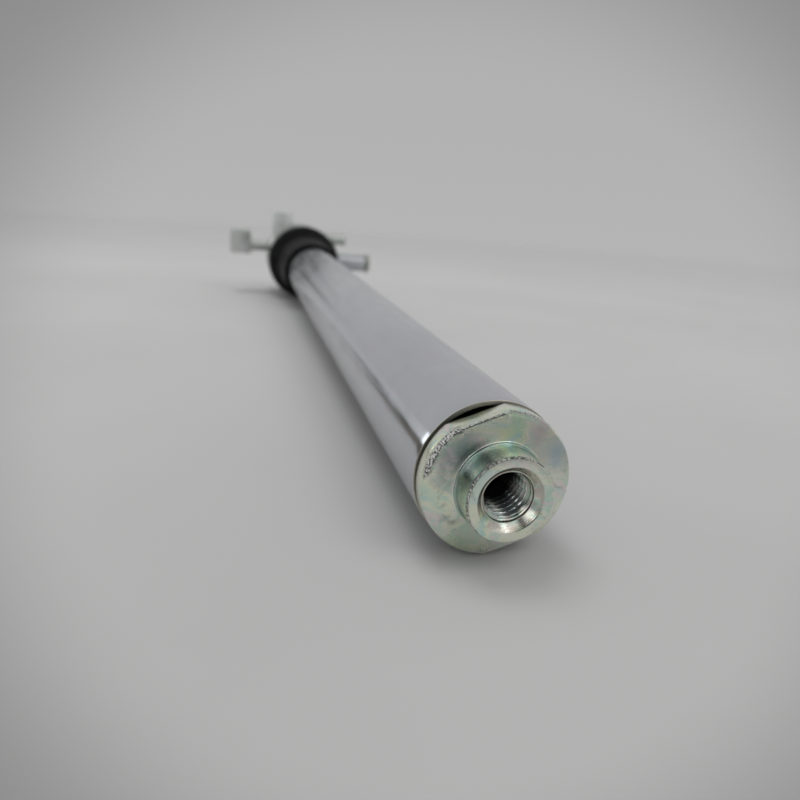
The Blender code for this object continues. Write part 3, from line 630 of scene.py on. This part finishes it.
def wavy(rng, columns, low, high):
    """A closed random wave between -1 and 1, made of whole turns from low to high."""
    angles = np.arange(columns) * TURN / columns
    total = np.zeros(columns)
    for turns in rng.integers(low, high, 24):
        total += np.sin(turns * angles + rng.uniform(0, TURN)) * rng.uniform(0.4, 1.0)
    return total / np.abs(total).max()


RNG = np.random.default_rng(7)
SLOW_WAVE = wavy(RNG, FLANGE_COLUMNS, 12, 50)
QUICK_WAVE = wavy(RNG, FLANGE_COLUMNS, 70, 230)


def flat_radius(angles):
    """How far out the wrench flats are in each direction."""
    return FLAT / np.maximum(np.abs(np.cos(angles - FLAT_ANGLE)), 1e-6)


def torn(angles):
    """1 along the burred stretch of the flange's edge."""
    return between(angles, 128, 168, 7)


def limited(radius, distance):
    """A round row, cut off by the wrench flats."""
    return lambda angles: (np.minimum(radius, flat_radius(angles)), distance)


def boss_rim_row(inset, distance, amount):
    """A row of the boss's rim, battered at its top and left."""
    def row(angles):
        wave = 0.35 * SLOW_WAVE + 0.65 * QUICK_WAVE
        wobble = amount * wave * between(angles, 70, 200, 40)
        return BOSS - inset + wobble, distance + wobble
    return row


def face_row(share):
    """Across the dished face: share 0 beside the boss, 1 at the outer edge."""
    start = BOSS_ROOT + 0.45 * MM
    reach = start + (FACE_EDGE - 1.1 * MM - start) * share

    def row(angles):
        radius = np.minimum(reach, flat_radius(angles) - 0.4 * MM)
        lean = (radius - BOSS_ROOT) / (FACE_EDGE - BOSS_ROOT)
        return radius, BOSS_HEIGHT + FACE_DISH * lean
    return row


def edge_row(share):
    """Across the outer edge: share 0 on the face, 1 on the side or on a flat."""
    def row(angles):
        rough = torn(angles)
        width = (0.80 + 0.20 * rough) * MM
        depth = (0.55 + 0.70 * rough) * MM
        outer = np.minimum(FACE_EDGE, flat_radius(angles))
        arch = math.sin(math.pi * share)
        bulge = share + (0.12 - 0.12 * rough) * arch
        sparkle = np.maximum(rough, 0.35 * between(angles, 60, 132, 8))
        wave = 0.3 * SLOW_WAVE + 0.7 * np.roll(QUICK_WAVE, int(31 * share))
        wobble = 0.11 * MM * arch * sparkle * wave
        lip = 0.13 * MM * math.exp(-(((share - 0.1) / 0.12) ** 2)) * rough
        radius = outer - width * (1 - bulge) + wobble
        return radius, FACE_END - 0.03 * MM + depth * share ** 1.8 - lip + wobble
    return row


def drive_thread_rows():
    """Rows of the female thread, from its deep end to its mouth."""
    def row_at(distance):
        def row(angles):
            phase = np.mod((distance - THREAD_START) / PITCH + angles / TURN, 1.0)
            ridge = np.clip((np.abs(2 * phase - 1) - 0.10) / 0.74, 0, 1)
            fade = np.clip((distance - THREAD_START) / (0.9 * PITCH), 0, 1)
            fade *= np.clip((THREAD_END - distance) / (0.5 * PITCH), 0, 1)
            return MAJOR - (MAJOR - MINOR) * (1 - ridge) * fade, distance
        return row
    length = THREAD_END - THREAD_START
    count = int(length / PITCH * 14)
    return [row_at(THREAD_START + length * step / count) for step in range(count, 0, -1)]


def mark_wear(obj):
    """Writes the "wear" attribute: 1 on the torn edge of the flange and of the boss, where the
    finish paints its glints.
    """
    points = np.array([vertex.co for vertex in obj.data.vertices]) - ON_AXIS.translation
    radius = np.hypot(points[:, 0], points[:, 2])
    angles = np.arctan2(points[:, 2], points[:, 0])
    distance = points[:, 1]
    rough = torn(angles)
    inward = (np.minimum(FACE_EDGE, flat_radius(angles)) - radius) / MM
    behind = (distance - FACE_END) / MM
    ridge = np.exp(-(((inward - 0.25 - 0.25 * rough) / (0.26 + 0.39 * rough)) ** 2))
    ridge *= np.exp(-(((behind - 0.2) / (0.6 + 0.4 * rough)) ** 2))
    rim_ridge = np.exp(-(((radius - BOSS) / MM + 0.15) / 0.22) ** 2) * (distance < 0.6 * MM)
    wear = ridge * np.maximum(rough, 0.5 * between(angles, 70, 132, 25))
    wear = np.maximum(wear, rim_ridge * (0.12 + 0.88 * between(angles, 75, 200, 45)))
    layer = obj.data.attributes.new("wear", "FLOAT", "POINT")
    layer.data.foreach_set("value", wear.astype(np.float32))


def drive_flange():
    """The threaded boss, flange with two wrench flats, and the neck that runs into the tube."""
    _, neck_end = along("drive_flange")
    rows = [
        (MAJOR, THREAD_START),
        (MAJOR + 0.26 * MM, THREAD_START),
        (MAJOR + 0.32 * MM, THREAD_START - 0.06 * MM),
        (SINK - 0.20 * MM, 0.17 * MM),
        (SINK - 0.04 * MM, 0.04 * MM),
        (SINK + 0.12 * MM, 0.0),
        (BOSS - 0.60 * MM, 0.0),
        boss_rim_row(0.42 * MM, 0.01 * MM, 0.03 * MM),
        boss_rim_row(0.27 * MM, 0.02 * MM, 0.09 * MM),
        boss_rim_row(0.13 * MM, 0.09 * MM, 0.10 * MM),
        boss_rim_row(0.02 * MM, 0.24 * MM, 0.09 * MM),
        boss_rim_row(0.00 * MM, 0.46 * MM, 0.05 * MM),
        (BOSS, 0.8 * MM),
        (BOSS + 0.02 * MM, BOSS_HEIGHT - 1.6 * MM),
        (BOSS + 0.08 * MM, BOSS_HEIGHT - 0.9 * MM),
        (BOSS + 0.20 * MM, BOSS_HEIGHT - 0.42 * MM),
        (BOSS + 0.40 * MM, BOSS_HEIGHT - 0.16 * MM),
        (BOSS_ROOT - 0.06 * MM, BOSS_HEIGHT - 0.12 * MM),
        (BOSS_ROOT + 0.03 * MM, BOSS_HEIGHT - 0.16 * MM),
        (BOSS_ROOT + 0.12 * MM, BOSS_HEIGHT - 0.16 * MM),
        (BOSS_ROOT + 0.22 * MM, BOSS_HEIGHT - 0.10 * MM),
        (BOSS_ROOT + 0.30 * MM, BOSS_HEIGHT + 0.01 * MM),
    ]
    rows += [face_row(share) for share in (0.0, 0.12, 0.3, 0.5, 0.7, 0.88, 1.0)]
    rows += [edge_row(share) for share in (0, 0.1, 0.2, 0.32, 0.44, 0.56, 0.68, 0.8, 0.9, 1)]
    rows += [
        limited(RIM - 0.03 * MM, FACE_END + 1.5 * MM),
        limited(RIM, FACE_END + 2.0 * MM),
        limited(RIM, FLANGE_BACK - 0.35 * MM),
        limited(RIM - 0.10 * MM, FLANGE_BACK - 0.1 * MM),
        limited(RIM - 0.35 * MM, FLANGE_BACK),
        (NECK + 0.5 * MM, FLANGE_BACK),
        (NECK, FLANGE_BACK + 0.5 * MM),
        (NECK, neck_end - 0.5 * MM),
        (NECK - 0.5 * MM, neck_end),
        (SPINDLE_BORE + 0.24 * MM, neck_end),
        (SPINDLE_BORE, neck_end - 0.25 * MM),
        (SPINDLE_BORE, SPINDLE_SEAT),
        (MAJOR, SPINDLE_SEAT),
        (MAJOR, THREAD_END + 0.5 * MM),
    ]
    rows += drive_thread_rows()
    obj = polar_surface("drive_flange_fine", rows, FLANGE_COLUMNS, smooth_angle=40)
    mark_wear(obj)
    fine(obj, "drive_flange", finish=flange_finish())


# -------------------------------------------------------- tube and boot


def guard_tube():
    start, end = along("guard_tube")
    outer = half_width("guard_tube")
    bore = outer - TUBE_WALL
    edge = 0.2 * MM
    outline = rounded(
        [
            (bore, start, edge),
            (outer - MOUTH_EASE, start, edge),
            (outer, start + MOUTH_LENGTH),
            (outer, end, edge),
            (bore, end, edge),
        ]
    )
    finish = chrome_plated("tube_finish", tube_low.y + BARE_END)
    fine(polar_surface("guard_tube_fine", outline, 256), "guard_tube", finish=finish)


def splash_boot():
    start, end = along("splash_boot")
    big = half_width("splash_boot")
    grip = half_width("guard_tube") + 0.15 * MM
    web = along("guard_tube")[1] + 0.3 * MM
    lip = 10.5 * MM
    soft = 1.2 * MM
    outline = rounded(
        [
            (grip, start, 0.3 * MM),
            (23.6 * MM, start, 0.9 * MM),  # the cuff
            (24.6 * MM, start + 2.2 * MM, 1.0 * MM),
            (24.7 * MM, start + 6 * MM, 0.8 * MM),
            (24.1 * MM, start + 7.4 * MM, 0.8 * MM),  # the sleeve
            (25.3 * MM, start + 34 * MM, 6 * MM),
            (26.6 * MM, start + 60 * MM, 9 * MM),
            (33.3 * MM, start + 74 * MM, 6 * MM),  # the flare
            (big, start + 79 * MM, 2 * MM),  # the skirt
            (big, end, 1.4 * MM),
            (big - 4 * MM, end, 1.0 * MM),  # the hollow under the skirt
            (big - 4 * MM, end - 14 * MM, 3 * MM),
            (22 * MM, web + 6 * MM, 3 * MM),
            (lip, web + 6 * MM, 0.8 * MM),
            (lip, web + 2 * MM, 0.8 * MM),
            (grip, web, soft),
        ],
        steps=7,
    )
    obj = polar_surface("splash_boot_fine", outline, 192, smooth_angle=50)
    return fine(obj, "splash_boot")


# ------------------------------------------------------------ mixing head


def arm_place(node, outward):
    """The matrix that lays a piece built along +Y onto the arm's axis, pointing outward."""
    low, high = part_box(node)
    middle = (low + high) / 2
    turn = Vector((0, 1, 0)).rotation_difference(Vector(outward)).to_matrix().to_4x4()
    if abs(outward[0]) > 0.5:
        origin = Vector((AXIS_X, middle.y, middle.z))
    else:
        origin = Vector((middle.x, middle.y, AXIS_Z))
    return Matrix.Translation(origin) @ turn


class Arm(NamedTuple):
    """How an arm is held in the hub. inner and seat are distances from the spindle axis."""

    node: str
    outward: tuple
    thread: float  # radius of the threaded tail
    inner: float  # inner end of the tail
    seat: float  # floor of the pocket in the hub
    flats: float  # width of the lock nut across its flats, or 0 where there is none

    def place(self):
        return arm_place(self.node, self.outward)


ARMS = {
    "paddle": Arm("paddle_arm", (-1, 0, 0), 5.9 * MM, 12 * MM, 26.5 * MM, 18 * MM),
    "side": Arm("side_peg", (1, 0, 0), 5.9 * MM, 12 * MM, 26.5 * MM, 18 * MM),
    "short": Arm("short_rod", (1, 0, 0), 4.9 * MM, 1 * MM, 17 * MM, 16 * MM),
    "top": Arm("top_peg", (0, 0, 1), 6.9 * MM, -8 * MM, 14 * MM, 0),
}
COARSE_PITCH = 1.75 * MM
NUT_HEIGHT = 6.5 * MM
PADDLE_ROD = 5.5 * MM
SHORT_ROD, SHORT_REACH = 5.8 * MM, 48.6 * MM
TOP_PEG, TOP_REACH = 10.7 * MM, 45.5 * MM
SIDE_PEG = 8.5 * MM
CAP, CAP_LENGTH = 9.1 * MM, 5 * MM


def mixing_head_hub():
    start, end = along("mixing_head_hub")
    rim = half_width("mixing_head_hub")
    bore = 7.7 * MM
    recess = end - 3 * MM  # a ring-shaped hollow in the back
    outline = rounded(
        [
            (bore, start, 0.4 * MM),
            (rim, start, 1.4 * MM),
            (rim, end, 1.4 * MM),
            (29 * MM, end, 0.5 * MM),
            (28 * MM, recess, 0.9 * MM),
            (16 * MM, recess, 0.9 * MM),
            (15 * MM, end, 0.5 * MM),
            (bore, end, 0.4 * MM),
        ]
    )
    obj = polar_surface("mixing_head_hub_fine", outline, 160)
    pockets = []
    for name, arm in ARMS.items():
        hole = arm.thread + 0.3 * MM
        pocket = (arm.flats / math.sqrt(3) if arm.flats else TOP_PEG) + 1 * MM
        corners = [
            (0, arm.inner - 1 * MM),
            (hole, arm.inner - 1 * MM),
            (hole, arm.seat),
            (pocket, arm.seat),
            (pocket, 2 * rim),
            (0, 2 * rim),
        ]
        pockets.append(turned_solid(f"{name}_pocket", corners, 72, arm.place()))
    boolean(obj, pockets)
    bevel_edges(obj, 0.35 * MM, 2, 35)
    dark = zinc_plated("hub_finish", (0.42, 0.44, 0.42), 0.34, 0.50)
    fine(obj, "mixing_head_hub", finish=dark)


def thread_rows(start, end, crest, root, pitch, per_turn=10):
    """Rows of an outside thread between two distances."""
    def row_at(distance):
        def row(angles):
            phase = np.mod((distance - start) / pitch - angles / TURN, 1.0)
            ridge = np.clip((np.abs(2 * phase - 1) - 0.1) / 0.7, 0, 1)
            return root + (crest - root) * ridge, distance
        return row
    count = max(2, int((end - start) / pitch * per_turn))
    return [row_at(start + (end - start) * step / count) for step in range(count + 1)]


def rod(arm, columns, radius, reach, tip_round, spigot=()):
    """A stirring arm: threaded tail, shoulder and a rod with a rounded tip.

    spigot holds the corners of a thinner end, and the tip then has the last one's radius.
    """
    held = NUT_HEIGHT if arm.flats else 1.2 * MM
    shoulder = arm.seat + held + 0.6 * MM
    crest, root = arm.thread, arm.thread - 0.85 * MM
    rows = [(0, arm.inner), (crest - 1.2 * MM, arm.inner)]
    rows += thread_rows(arm.inner + 1 * MM, shoulder - 0.4 * MM, crest, root, COARSE_PITCH)
    rows += [(crest - 0.9 * MM, shoulder - 0.3 * MM)]
    tip = spigot[-1][0] if spigot else radius
    corners = [(0, shoulder - 5 * MM), (crest - 0.9 * MM, shoulder), (radius, shoulder, 0.4 * MM)]
    corners += [*spigot, (tip, reach, tip_round), (0, reach)]
    rows += rounded(corners, steps=5)[1:]
    name = f"{arm.node}_fine"
    return polar_surface(name, rows, columns, arm.place(), closed=False, smooth_angle=40)


def arms():
    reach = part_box("side_peg_cap")[1].x - AXIS_X
    cap_start = reach - CAP_LENGTH
    paddle_rod = rod(ARMS["paddle"], 96, PADDLE_ROD, reach - 1.5 * MM, 0.7 * MM)
    fine(paddle_rod, "paddle_arm")
    fine(rod(ARMS["short"], 96, SHORT_ROD, SHORT_REACH, 1.2 * MM), "short_rod")
    pale = zinc_plated("bright_peg_finish", (0.80, 0.81, 0.83), 0.38, 0.52)
    fine(rod(ARMS["top"], 128, TOP_PEG, TOP_REACH, 1.0 * MM), "top_peg", finish=pale)
    spigot = [(SIDE_PEG, cap_start, 0.3 * MM), (6.5 * MM, cap_start)]
    peg = rod(ARMS["side"], 128, SIDE_PEG, reach - 1.6 * MM, 0.4 * MM, spigot)
    fine(peg, "side_peg")

    inside = 6.8 * MM
    floor = reach - 1.3 * MM
    outline = rounded(
        [
            (0, reach),
            (CAP, reach, 1.1 * MM),
            (CAP, cap_start + 1.0 * MM, 0.4 * MM),
            (inside, cap_start + 1.0 * MM, 0.2 * MM),
            (inside, floor),
            (0, floor),
        ],
        steps=5,
    )
    place = ARMS["side"].place()
    cap = polar_surface("side_peg_cap_fine", outline, 128, place, closed=False)
    dull = zinc_plated("dull_cap_finish", (0.33, 0.34, 0.31), 0.38, 0.55)
    fine(cap, "side_peg_cap", finish=dull)


def hex_nut(name, flats, start, height, bore, place):
    """A hexagon nut with chamfered corners and a threaded bore."""
    chamfer_radius = flats / 2 * 0.96
    slope = math.tan(math.radians(30))

    def hexagon(angles):
        folded = np.mod(angles, math.pi / 3) - math.pi / 6
        return flats / 2 / np.cos(folded)

    def chamfer(share, side):
        def row(angles):
            radius = chamfer_radius + (hexagon(angles) - chamfer_radius) * share
            drop = (radius - chamfer_radius) * slope
            return radius, (start + drop) if side < 0 else (start + height - drop)
        return row

    rows = [(bore + 0.6 * MM, start), (chamfer_radius, start)]
    rows += [chamfer(share, -1) for share in (0.5, 1.0)]
    rows += [chamfer(share, 1) for share in (1.0, 0.5)]
    rows += [(chamfer_radius, start + height), (bore + 0.6 * MM, start + height)]
    first, last = start + 0.5 * MM, start + height - 0.5 * MM
    inside = thread_rows(first, last, bore + 0.1 * MM, bore + 0.7 * MM, COARSE_PITCH, 8)
    rows += inside[::-1]
    return polar_surface(name, rows, 144, place, smooth_angle=28)


def lock_nuts():
    for name, arm in ARMS.items():
        if arm.flats:
            start = arm.seat + 0.3 * MM
            nut = hex_nut(
                f"{name}_lock_nut_fine", arm.flats, start, NUT_HEIGHT, arm.thread, arm.place()
            )
            fine(nut, f"{name}_lock_nut")


def paddle_block():
    """The box-shaped paddle: pinched onto its arm by a screw across a slit."""
    low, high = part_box("paddle_block")
    arm_low, arm_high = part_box("paddle_arm")
    screw_low, screw_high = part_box("paddle_clamp_screw")
    rod_y, rod_z = (arm_low.y + arm_high.y) / 2, (arm_low.z + arm_high.z) / 2
    screw_x, screw_z = (screw_low.x + screw_high.x) / 2, (screw_low.z + screw_high.z) / 2
    obj = box_object("paddle_block_fine", low, high)
    bevel_edges(obj, 1.1 * MM, 3, 30)

    beyond = 50 * MM
    half_slit, bore, hole = 0.7 * MM, 5.8 * MM, 2.25 * MM
    slit_low = (low.x - beyond, rod_y - half_slit, rod_z)
    slit_high = (high.x + beyond, rod_y + half_slit, high.z + beyond)
    along_x = Matrix.Rotation(-math.pi / 2, 4, "Z")
    at_rod = Matrix.Translation((low.x - beyond, rod_y, rod_z)) @ along_x
    at_screw = Matrix.Translation((screw_x, rod_y - beyond, screw_z))
    cutters = [box_object("slit", slit_low, slit_high)]
    for name, radius, columns, place in (
        ("bore", bore, 72, at_rod),
        ("hole", hole, 48, at_screw),
    ):
        corners = [(0, 0), (radius, 0), (radius, 3 * beyond), (0, 3 * beyond)]
        cutters.append(turned_solid(name, corners, columns, place))
    boolean(obj, cutters)
    bevel_edges(obj, 0.3 * MM, 2, 40)
    pale = zinc_plated("pale_block_finish", (0.74, 0.755, 0.74), 0.45, 0.60)
    fine(obj, "paddle_block", finish=pale)


def clamp_screw():
    """A socket head screw with a knurled head."""
    low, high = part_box("paddle_clamp_screw")
    length = high.y - low.y
    head_height = 4.0 * MM
    socket, socket_depth = 1.6 * MM, 2.4 * MM
    crest, root, pitch = 1.95 * MM, 1.65 * MM, 0.7 * MM

    def knurl(distance):
        return lambda angles: (3.52 * MM + 0.08 * MM * np.abs(np.sin(18 * angles)), distance)

    def hex_socket(distance):
        def row(angles):
            folded = np.mod(angles, math.pi / 3) - math.pi / 6
            return socket / np.cos(folded), distance
        return row

    rows = [(0, socket_depth), (socket * 0.6, socket_depth)]
    rows += [hex_socket(socket_depth), hex_socket(0.15 * MM)]
    rows += [(1.95 * MM, 0.0), (3.1 * MM, 0.0), (3.4 * MM, 0.15 * MM), knurl(0.45 * MM)]
    rows += [knurl(head_height - 0.3 * MM), (3.4 * MM, head_height), (1.9 * MM, head_height)]
    rows += thread_rows(head_height + 0.4 * MM, length - 0.6 * MM, crest, root, pitch, 8)
    rows += [(1.4 * MM, length), (0, length)]
    place = Matrix.Translation(((low.x + high.x) / 2, low.y, (low.z + high.z) / 2))
    screw = polar_surface("paddle_clamp_screw_fine", rows, 144, place, closed=False)
    fine(screw, "paddle_clamp_screw")


def head_fasteners():
    """The washer and the collared lock nut that hold the hub on the spindle."""
    start, end = along("hub_washer")
    bore, rim = 6.2 * MM, 13 * MM
    washer = rounded(
        [
            (bore, start, 0.2 * MM),
            (rim, start, 0.4 * MM),
            (rim, end, 0.4 * MM),
            (bore, end, 0.2 * MM),
        ]
    )
    fine(polar_surface("hub_washer_fine", washer, 128), "hub_washer")

    start, end = along("hub_lock_nut")
    flats, height, thread = 19 * MM, 8 * MM, 5.9 * MM
    nut = hex_nut("hub_lock_nut_fine", flats, start, height, thread, ON_AXIS)
    bore, rim = 6.6 * MM, 8.6 * MM
    collar = rounded(
        [
            (bore, start + 4 * MM),
            (rim, start + 4 * MM),
            (rim, end, 1.2 * MM),
            (bore, end, 0.3 * MM),
        ]
    )
    boolean(nut, [polar_surface("collar", collar, 96)], "UNION")
    nut.data.shade_smooth()
    nut.data.set_sharp_from_angle(angle=math.radians(28))
    fine(nut, "hub_lock_nut")


def spindle():
    """The shaft, with a groove and the lock nut's thread at its far end."""
    start, end = along("spindle_shaft")
    hub_end = along("mixing_head_hub")[1]
    radius, crest, root = 7.5 * MM, 5.95 * MM, 5.1 * MM
    rows = [(0, start), (radius - 0.4 * MM, start), (radius, start + 0.4 * MM)]
    rows += [(radius, hub_end - 2.2 * MM), (6.0 * MM, hub_end - 2 * MM)]
    rows += [(5.2 * MM, hub_end - 1.6 * MM)]
    rows += thread_rows(hub_end - 1 * MM, end - 0.9 * MM, crest, root, COARSE_PITCH)
    rows += [(5.0 * MM, end - 0.4 * MM), (4.4 * MM, end), (0, end)]
    obj = polar_surface("spindle_shaft_fine", rows, 128, closed=False)
    fine(obj, "spindle_shaft")


# ------------------------------------------------------------------- stage

BACKDROP, BACKDROP_SLOPE = 0.455, 0.09  # tone level with the horizon, and its fall upwards
# Height of a direction with the sky's tone, and place along the floor with its share of light,
# painted into the floor's colour.
SKY = [(0.0, 0.50), (0.10, 0.50), (0.28, 0.53), (0.60, 0.53), (1.0, 0.58)]
FLOOR_PAINTED_LIGHT = [(0.0, 0.90), (0.35, 0.995), (0.7, 1.05), (1.0, 1.10)]
MOUTH = Vector((AXIS_X, tube_low.y, AXIS_Z))
WHITE = (1.0, 1.0, 1.0)


def resting_floor():
    """Height at y = 0 and slope of a floor under the tube's mouth and the boot's widest ring."""
    boot_low, boot_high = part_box("splash_boot")
    far_y = boot_high.y - 13 * MM
    slope = (boot_low.z - tube_low.z) / (far_y - tube_low.y)
    return tube_low.z - slope * tube_low.y, slope


def vignette(nodes):
    """A soft fall-off of the light towards the edges of the view, painted into the colours that
    it multiplies.
    """
    window = nodes.node("ShaderNodeTexCoord").outputs["Window"]
    gap = nodes.distance(window, (0.54, 0.47, 0))
    return nodes.spread(gap, 0.44, 0.76, 1.0, 0.62, smooth=True)


def stage():
    """A pale floor that fades into the backdrop, so that no edge shows from any side."""
    height, slope = resting_floor()
    bm = bmesh.new()
    bmesh.ops.create_grid(bm, x_segments=8, y_segments=8, size=4.0)
    for vert in bm.verts:
        vert.co.z = height + slope * vert.co.y - 0.02 * MM
    mesh = bpy.data.meshes.new("floor")
    bm.to_mesh(mesh)
    bm.free()
    floor = bpy.data.objects.new("floor", mesh)
    bpy.context.scene.collection.objects.link(floor)

    s = Shader("floor_paper")
    away = s.distance(s.coords, (0, 0, 0))
    tone = s.noise(5, 4, 0.5)
    paper = s.ramp(tone, [(0.3, (0.51, 0.51, 0.505)), (0.7, (0.54, 0.54, 0.535))])
    # Painted light on the paper: darker towards the front, brighter farther out where the lamps
    # fall off, and a painted vignette.
    _, distance = s.axis_radius((0, 0))
    lengthwise = s.ramp(s.spread(distance, -0.45, 0.45, 0.0, 1.0), FLOOR_PAINTED_LIGHT)
    paper = s.mix(1.0, paper, lengthwise, "MULTIPLY")
    paper = s.mix(1.0, paper, s.spread(away, 0.35, 1.6, 1.0, 1.18), "MULTIPLY")
    s.set(Base_Color=s.mix(1.0, paper, vignette(s), "MULTIPLY"))
    s.set(Roughness=0.9, Specular_IOR_Level=0.1)
    s.set(Normal=s.bump(s.noise(7, 3, 0.5), 0.2, 0.01))
    fade = s.spread(away, 0.5, 2.8, 0.0, 1.0)
    blend = s.node("ShaderNodeMixShader", Fac=fade)
    clear = s.node("ShaderNodeBsdfTransparent")
    s.tree.links.new(s.bsdf.outputs[0], blend.inputs[1])
    s.tree.links.new(clear.outputs[0], blend.inputs[2])
    s.show(blend.outputs[0])
    mesh.materials.append(s.material)


def world():
    """A pale backdrop for the camera, darker upwards and with a painted vignette, and a soft sky
    with a tone for each height.
    """
    studio = bpy.data.worlds.new("soft_studio")
    bpy.context.scene.world = studio
    studio.use_nodes = True
    nodes = Nodes(studio.node_tree)
    direction = nodes.node("ShaderNodeTexCoord").outputs["Generated"]
    height = nodes.node("ShaderNodeSeparateXYZ", Vector=direction).outputs["Z"]
    sky = nodes.ramp(height, [(at, (tone, tone, tone * 1.01)) for at, tone in SKY])
    backdrop = nodes.math("MULTIPLY_ADD", height, -BACKDROP_SLOPE, BACKDROP)
    # Painted vignette: the backdrop darkens towards the edges of the view.
    backdrop = nodes.math("MULTIPLY", backdrop, vignette(nodes))
    seen = nodes.node("ShaderNodeLightPath").outputs["Is Camera Ray"]
    nodes.put(nodes.tree.nodes["Background"], "Color", nodes.mix(seen, sky, backdrop))


def aimed(location, target):
    """A matrix at location whose -Z axis points at target."""
    direction = Vector(target) - Vector(location)
    turn = direction.to_track_quat("-Z", "Y").to_matrix().to_4x4()
    return Matrix.Translation(location) @ turn


def area_light(name, location, target, size, power):
    """A light that itself doesn't show in reflections."""
    data = bpy.data.lights.new(name, "AREA")
    data.shape = "RECTANGLE"
    data.size, data.size_y = size
    data.energy = power
    light = bpy.data.objects.new(name, data)
    light.matrix_world = aimed(location, target)
    light.visible_camera = False
    light.visible_glossy = False
    bpy.context.scene.collection.objects.link(light)


def reflection_card(name, location, target, size, tone, strength=1.0, roll=0.0):
    """A card that only shows in reflections: a bright window or a dark flag."""
    bm = bmesh.new()
    bmesh.ops.create_grid(bm, x_segments=1, y_segments=1, size=0.5)
    bmesh.ops.scale(bm, verts=bm.verts, vec=(*size, 1))
    mesh = bpy.data.meshes.new(name)
    bm.to_mesh(mesh)
    bm.free()
    card = bpy.data.objects.new(name, mesh)
    card.matrix_world = aimed(location, target) @ Matrix.Rotation(math.radians(roll), 4, "Z")
    bpy.context.scene.collection.objects.link(card)
    s = Shader(name)
    glow = s.node("ShaderNodeEmission", Strength=strength, Color=(*tone, 1))
    s.show(glow.outputs[0])
    mesh.materials.append(s.material)
    card.visible_camera = False
    card.visible_diffuse = False
    card.visible_shadow = False
    card.visible_transmission = False


def lights():
    """Two soft lights, and the cards that the chrome and the zinc mirror."""
    key = MOUTH + Vector((0.56, -0.60, 1.26))
    area_light("key_light", key, MOUTH, (0.9, 0.8), 4.5)
    area_light("top_light", (-0.22, 0.25, 1.5), (0, 0, 0), (0.7, 0.7), 6.3)

    left = MOUTH + Vector((-0.67, -0.51, 0.48)) * 0.6
    ceiling = MOUTH + Vector((0.15, -0.35, 1.35))
    window = MOUTH + Vector((-0.61, 0.78, 0.155)) * 1.3
    reflection_card("key_card", key, MOUTH, (0.60, 0.36), WHITE, 3.6)
    reflection_card("left_card", left, MOUTH, (0.20, 0.34), WHITE, 1.7)
    reflection_card("ceiling_card", ceiling, MOUTH, (1.5, 1.2), WHITE, 0.85)
    reflection_card("window_card", window, MOUTH, (0.17, 0.22), (1.0, 1.03, 1.08), 2.4)

    low, near = Vector((-0.42, 0.30, 0.020)), Vector((-0.20, 0.12, -0.012))
    low_tone, near_tone = (0.03, 0.03, 0.028), (0.13, 0.113, 0.10)
    reflection_card("low_flag", low, (0, low.y, low.z), (1.5, 0.05), low_tone)
    reflection_card("near_flag", near, (0, near.y, near.z), (0.55, 0.08), near_tone, roll=8)
    behind = MOUTH + Vector((-0.37, -0.84, 0.39)) * 0.75
    reflection_card("dark_figure", behind, MOUTH, (0.95, 0.85), (0.03, 0.037, 0.042))


def camera():
    """Close to the drive end, looking along the mixer and a little down."""
    data = bpy.data.cameras.new("camera")
    data.lens = 28.8
    data.sensor_width = 36.0
    data.clip_start = 0.002
    data.clip_end = 60
    cam = bpy.data.objects.new("camera", data)
    forward = Vector((0.2491, 0.9204, -0.3014)).normalized()
    up = Vector((0.9685, -0.2367, 0.0775)).cross(forward).normalized()
    turn = Matrix((forward.cross(up), up, -forward)).transposed().to_4x4()
    cam.matrix_world = Matrix.Translation(MOUTH + Vector((-66.4, -147.9, 69.6)) * MM) @ turn
    bpy.context.scene.collection.objects.link(cam)
    bpy.context.scene.camera = cam

    focus = bpy.data.objects.new("focus_point", None)
    focus.location = MOUTH + Vector((0, -8, 8)) * MM
    bpy.context.scene.collection.objects.link(focus)
    data.dof.use_dof = True
    data.dof.focus_object = focus
    # Only the close view is blurred with depth; a view from farther off is sharp throughout.
    driver = data.dof.driver_add("aperture_fstop").driver
    driver.type = "SCRIPTED"
    variable = driver.variables.new()
    variable.name = "gap"
    variable.type = "LOC_DIFF"
    variable.targets[0].id = cam
    variable.targets[1].id = focus
    driver.expression = "13.5 if gap < 0.25 else 90"


# ---------------------------------------------------------------- assembly


drive_flange()
guard_tube()
splash_boot()
mixing_head_hub()
arms()
lock_nuts()
paddle_block()
clamp_screw()
head_fasteners()
spindle()

for node, obj in frame["nodes"].items():
    if not obj.hide_render:
        finish_object(obj, SLOT_OF[node])

stage()
world()
lights()
camera()
bpy.context.scene.view_settings.view_transform = "Standard"
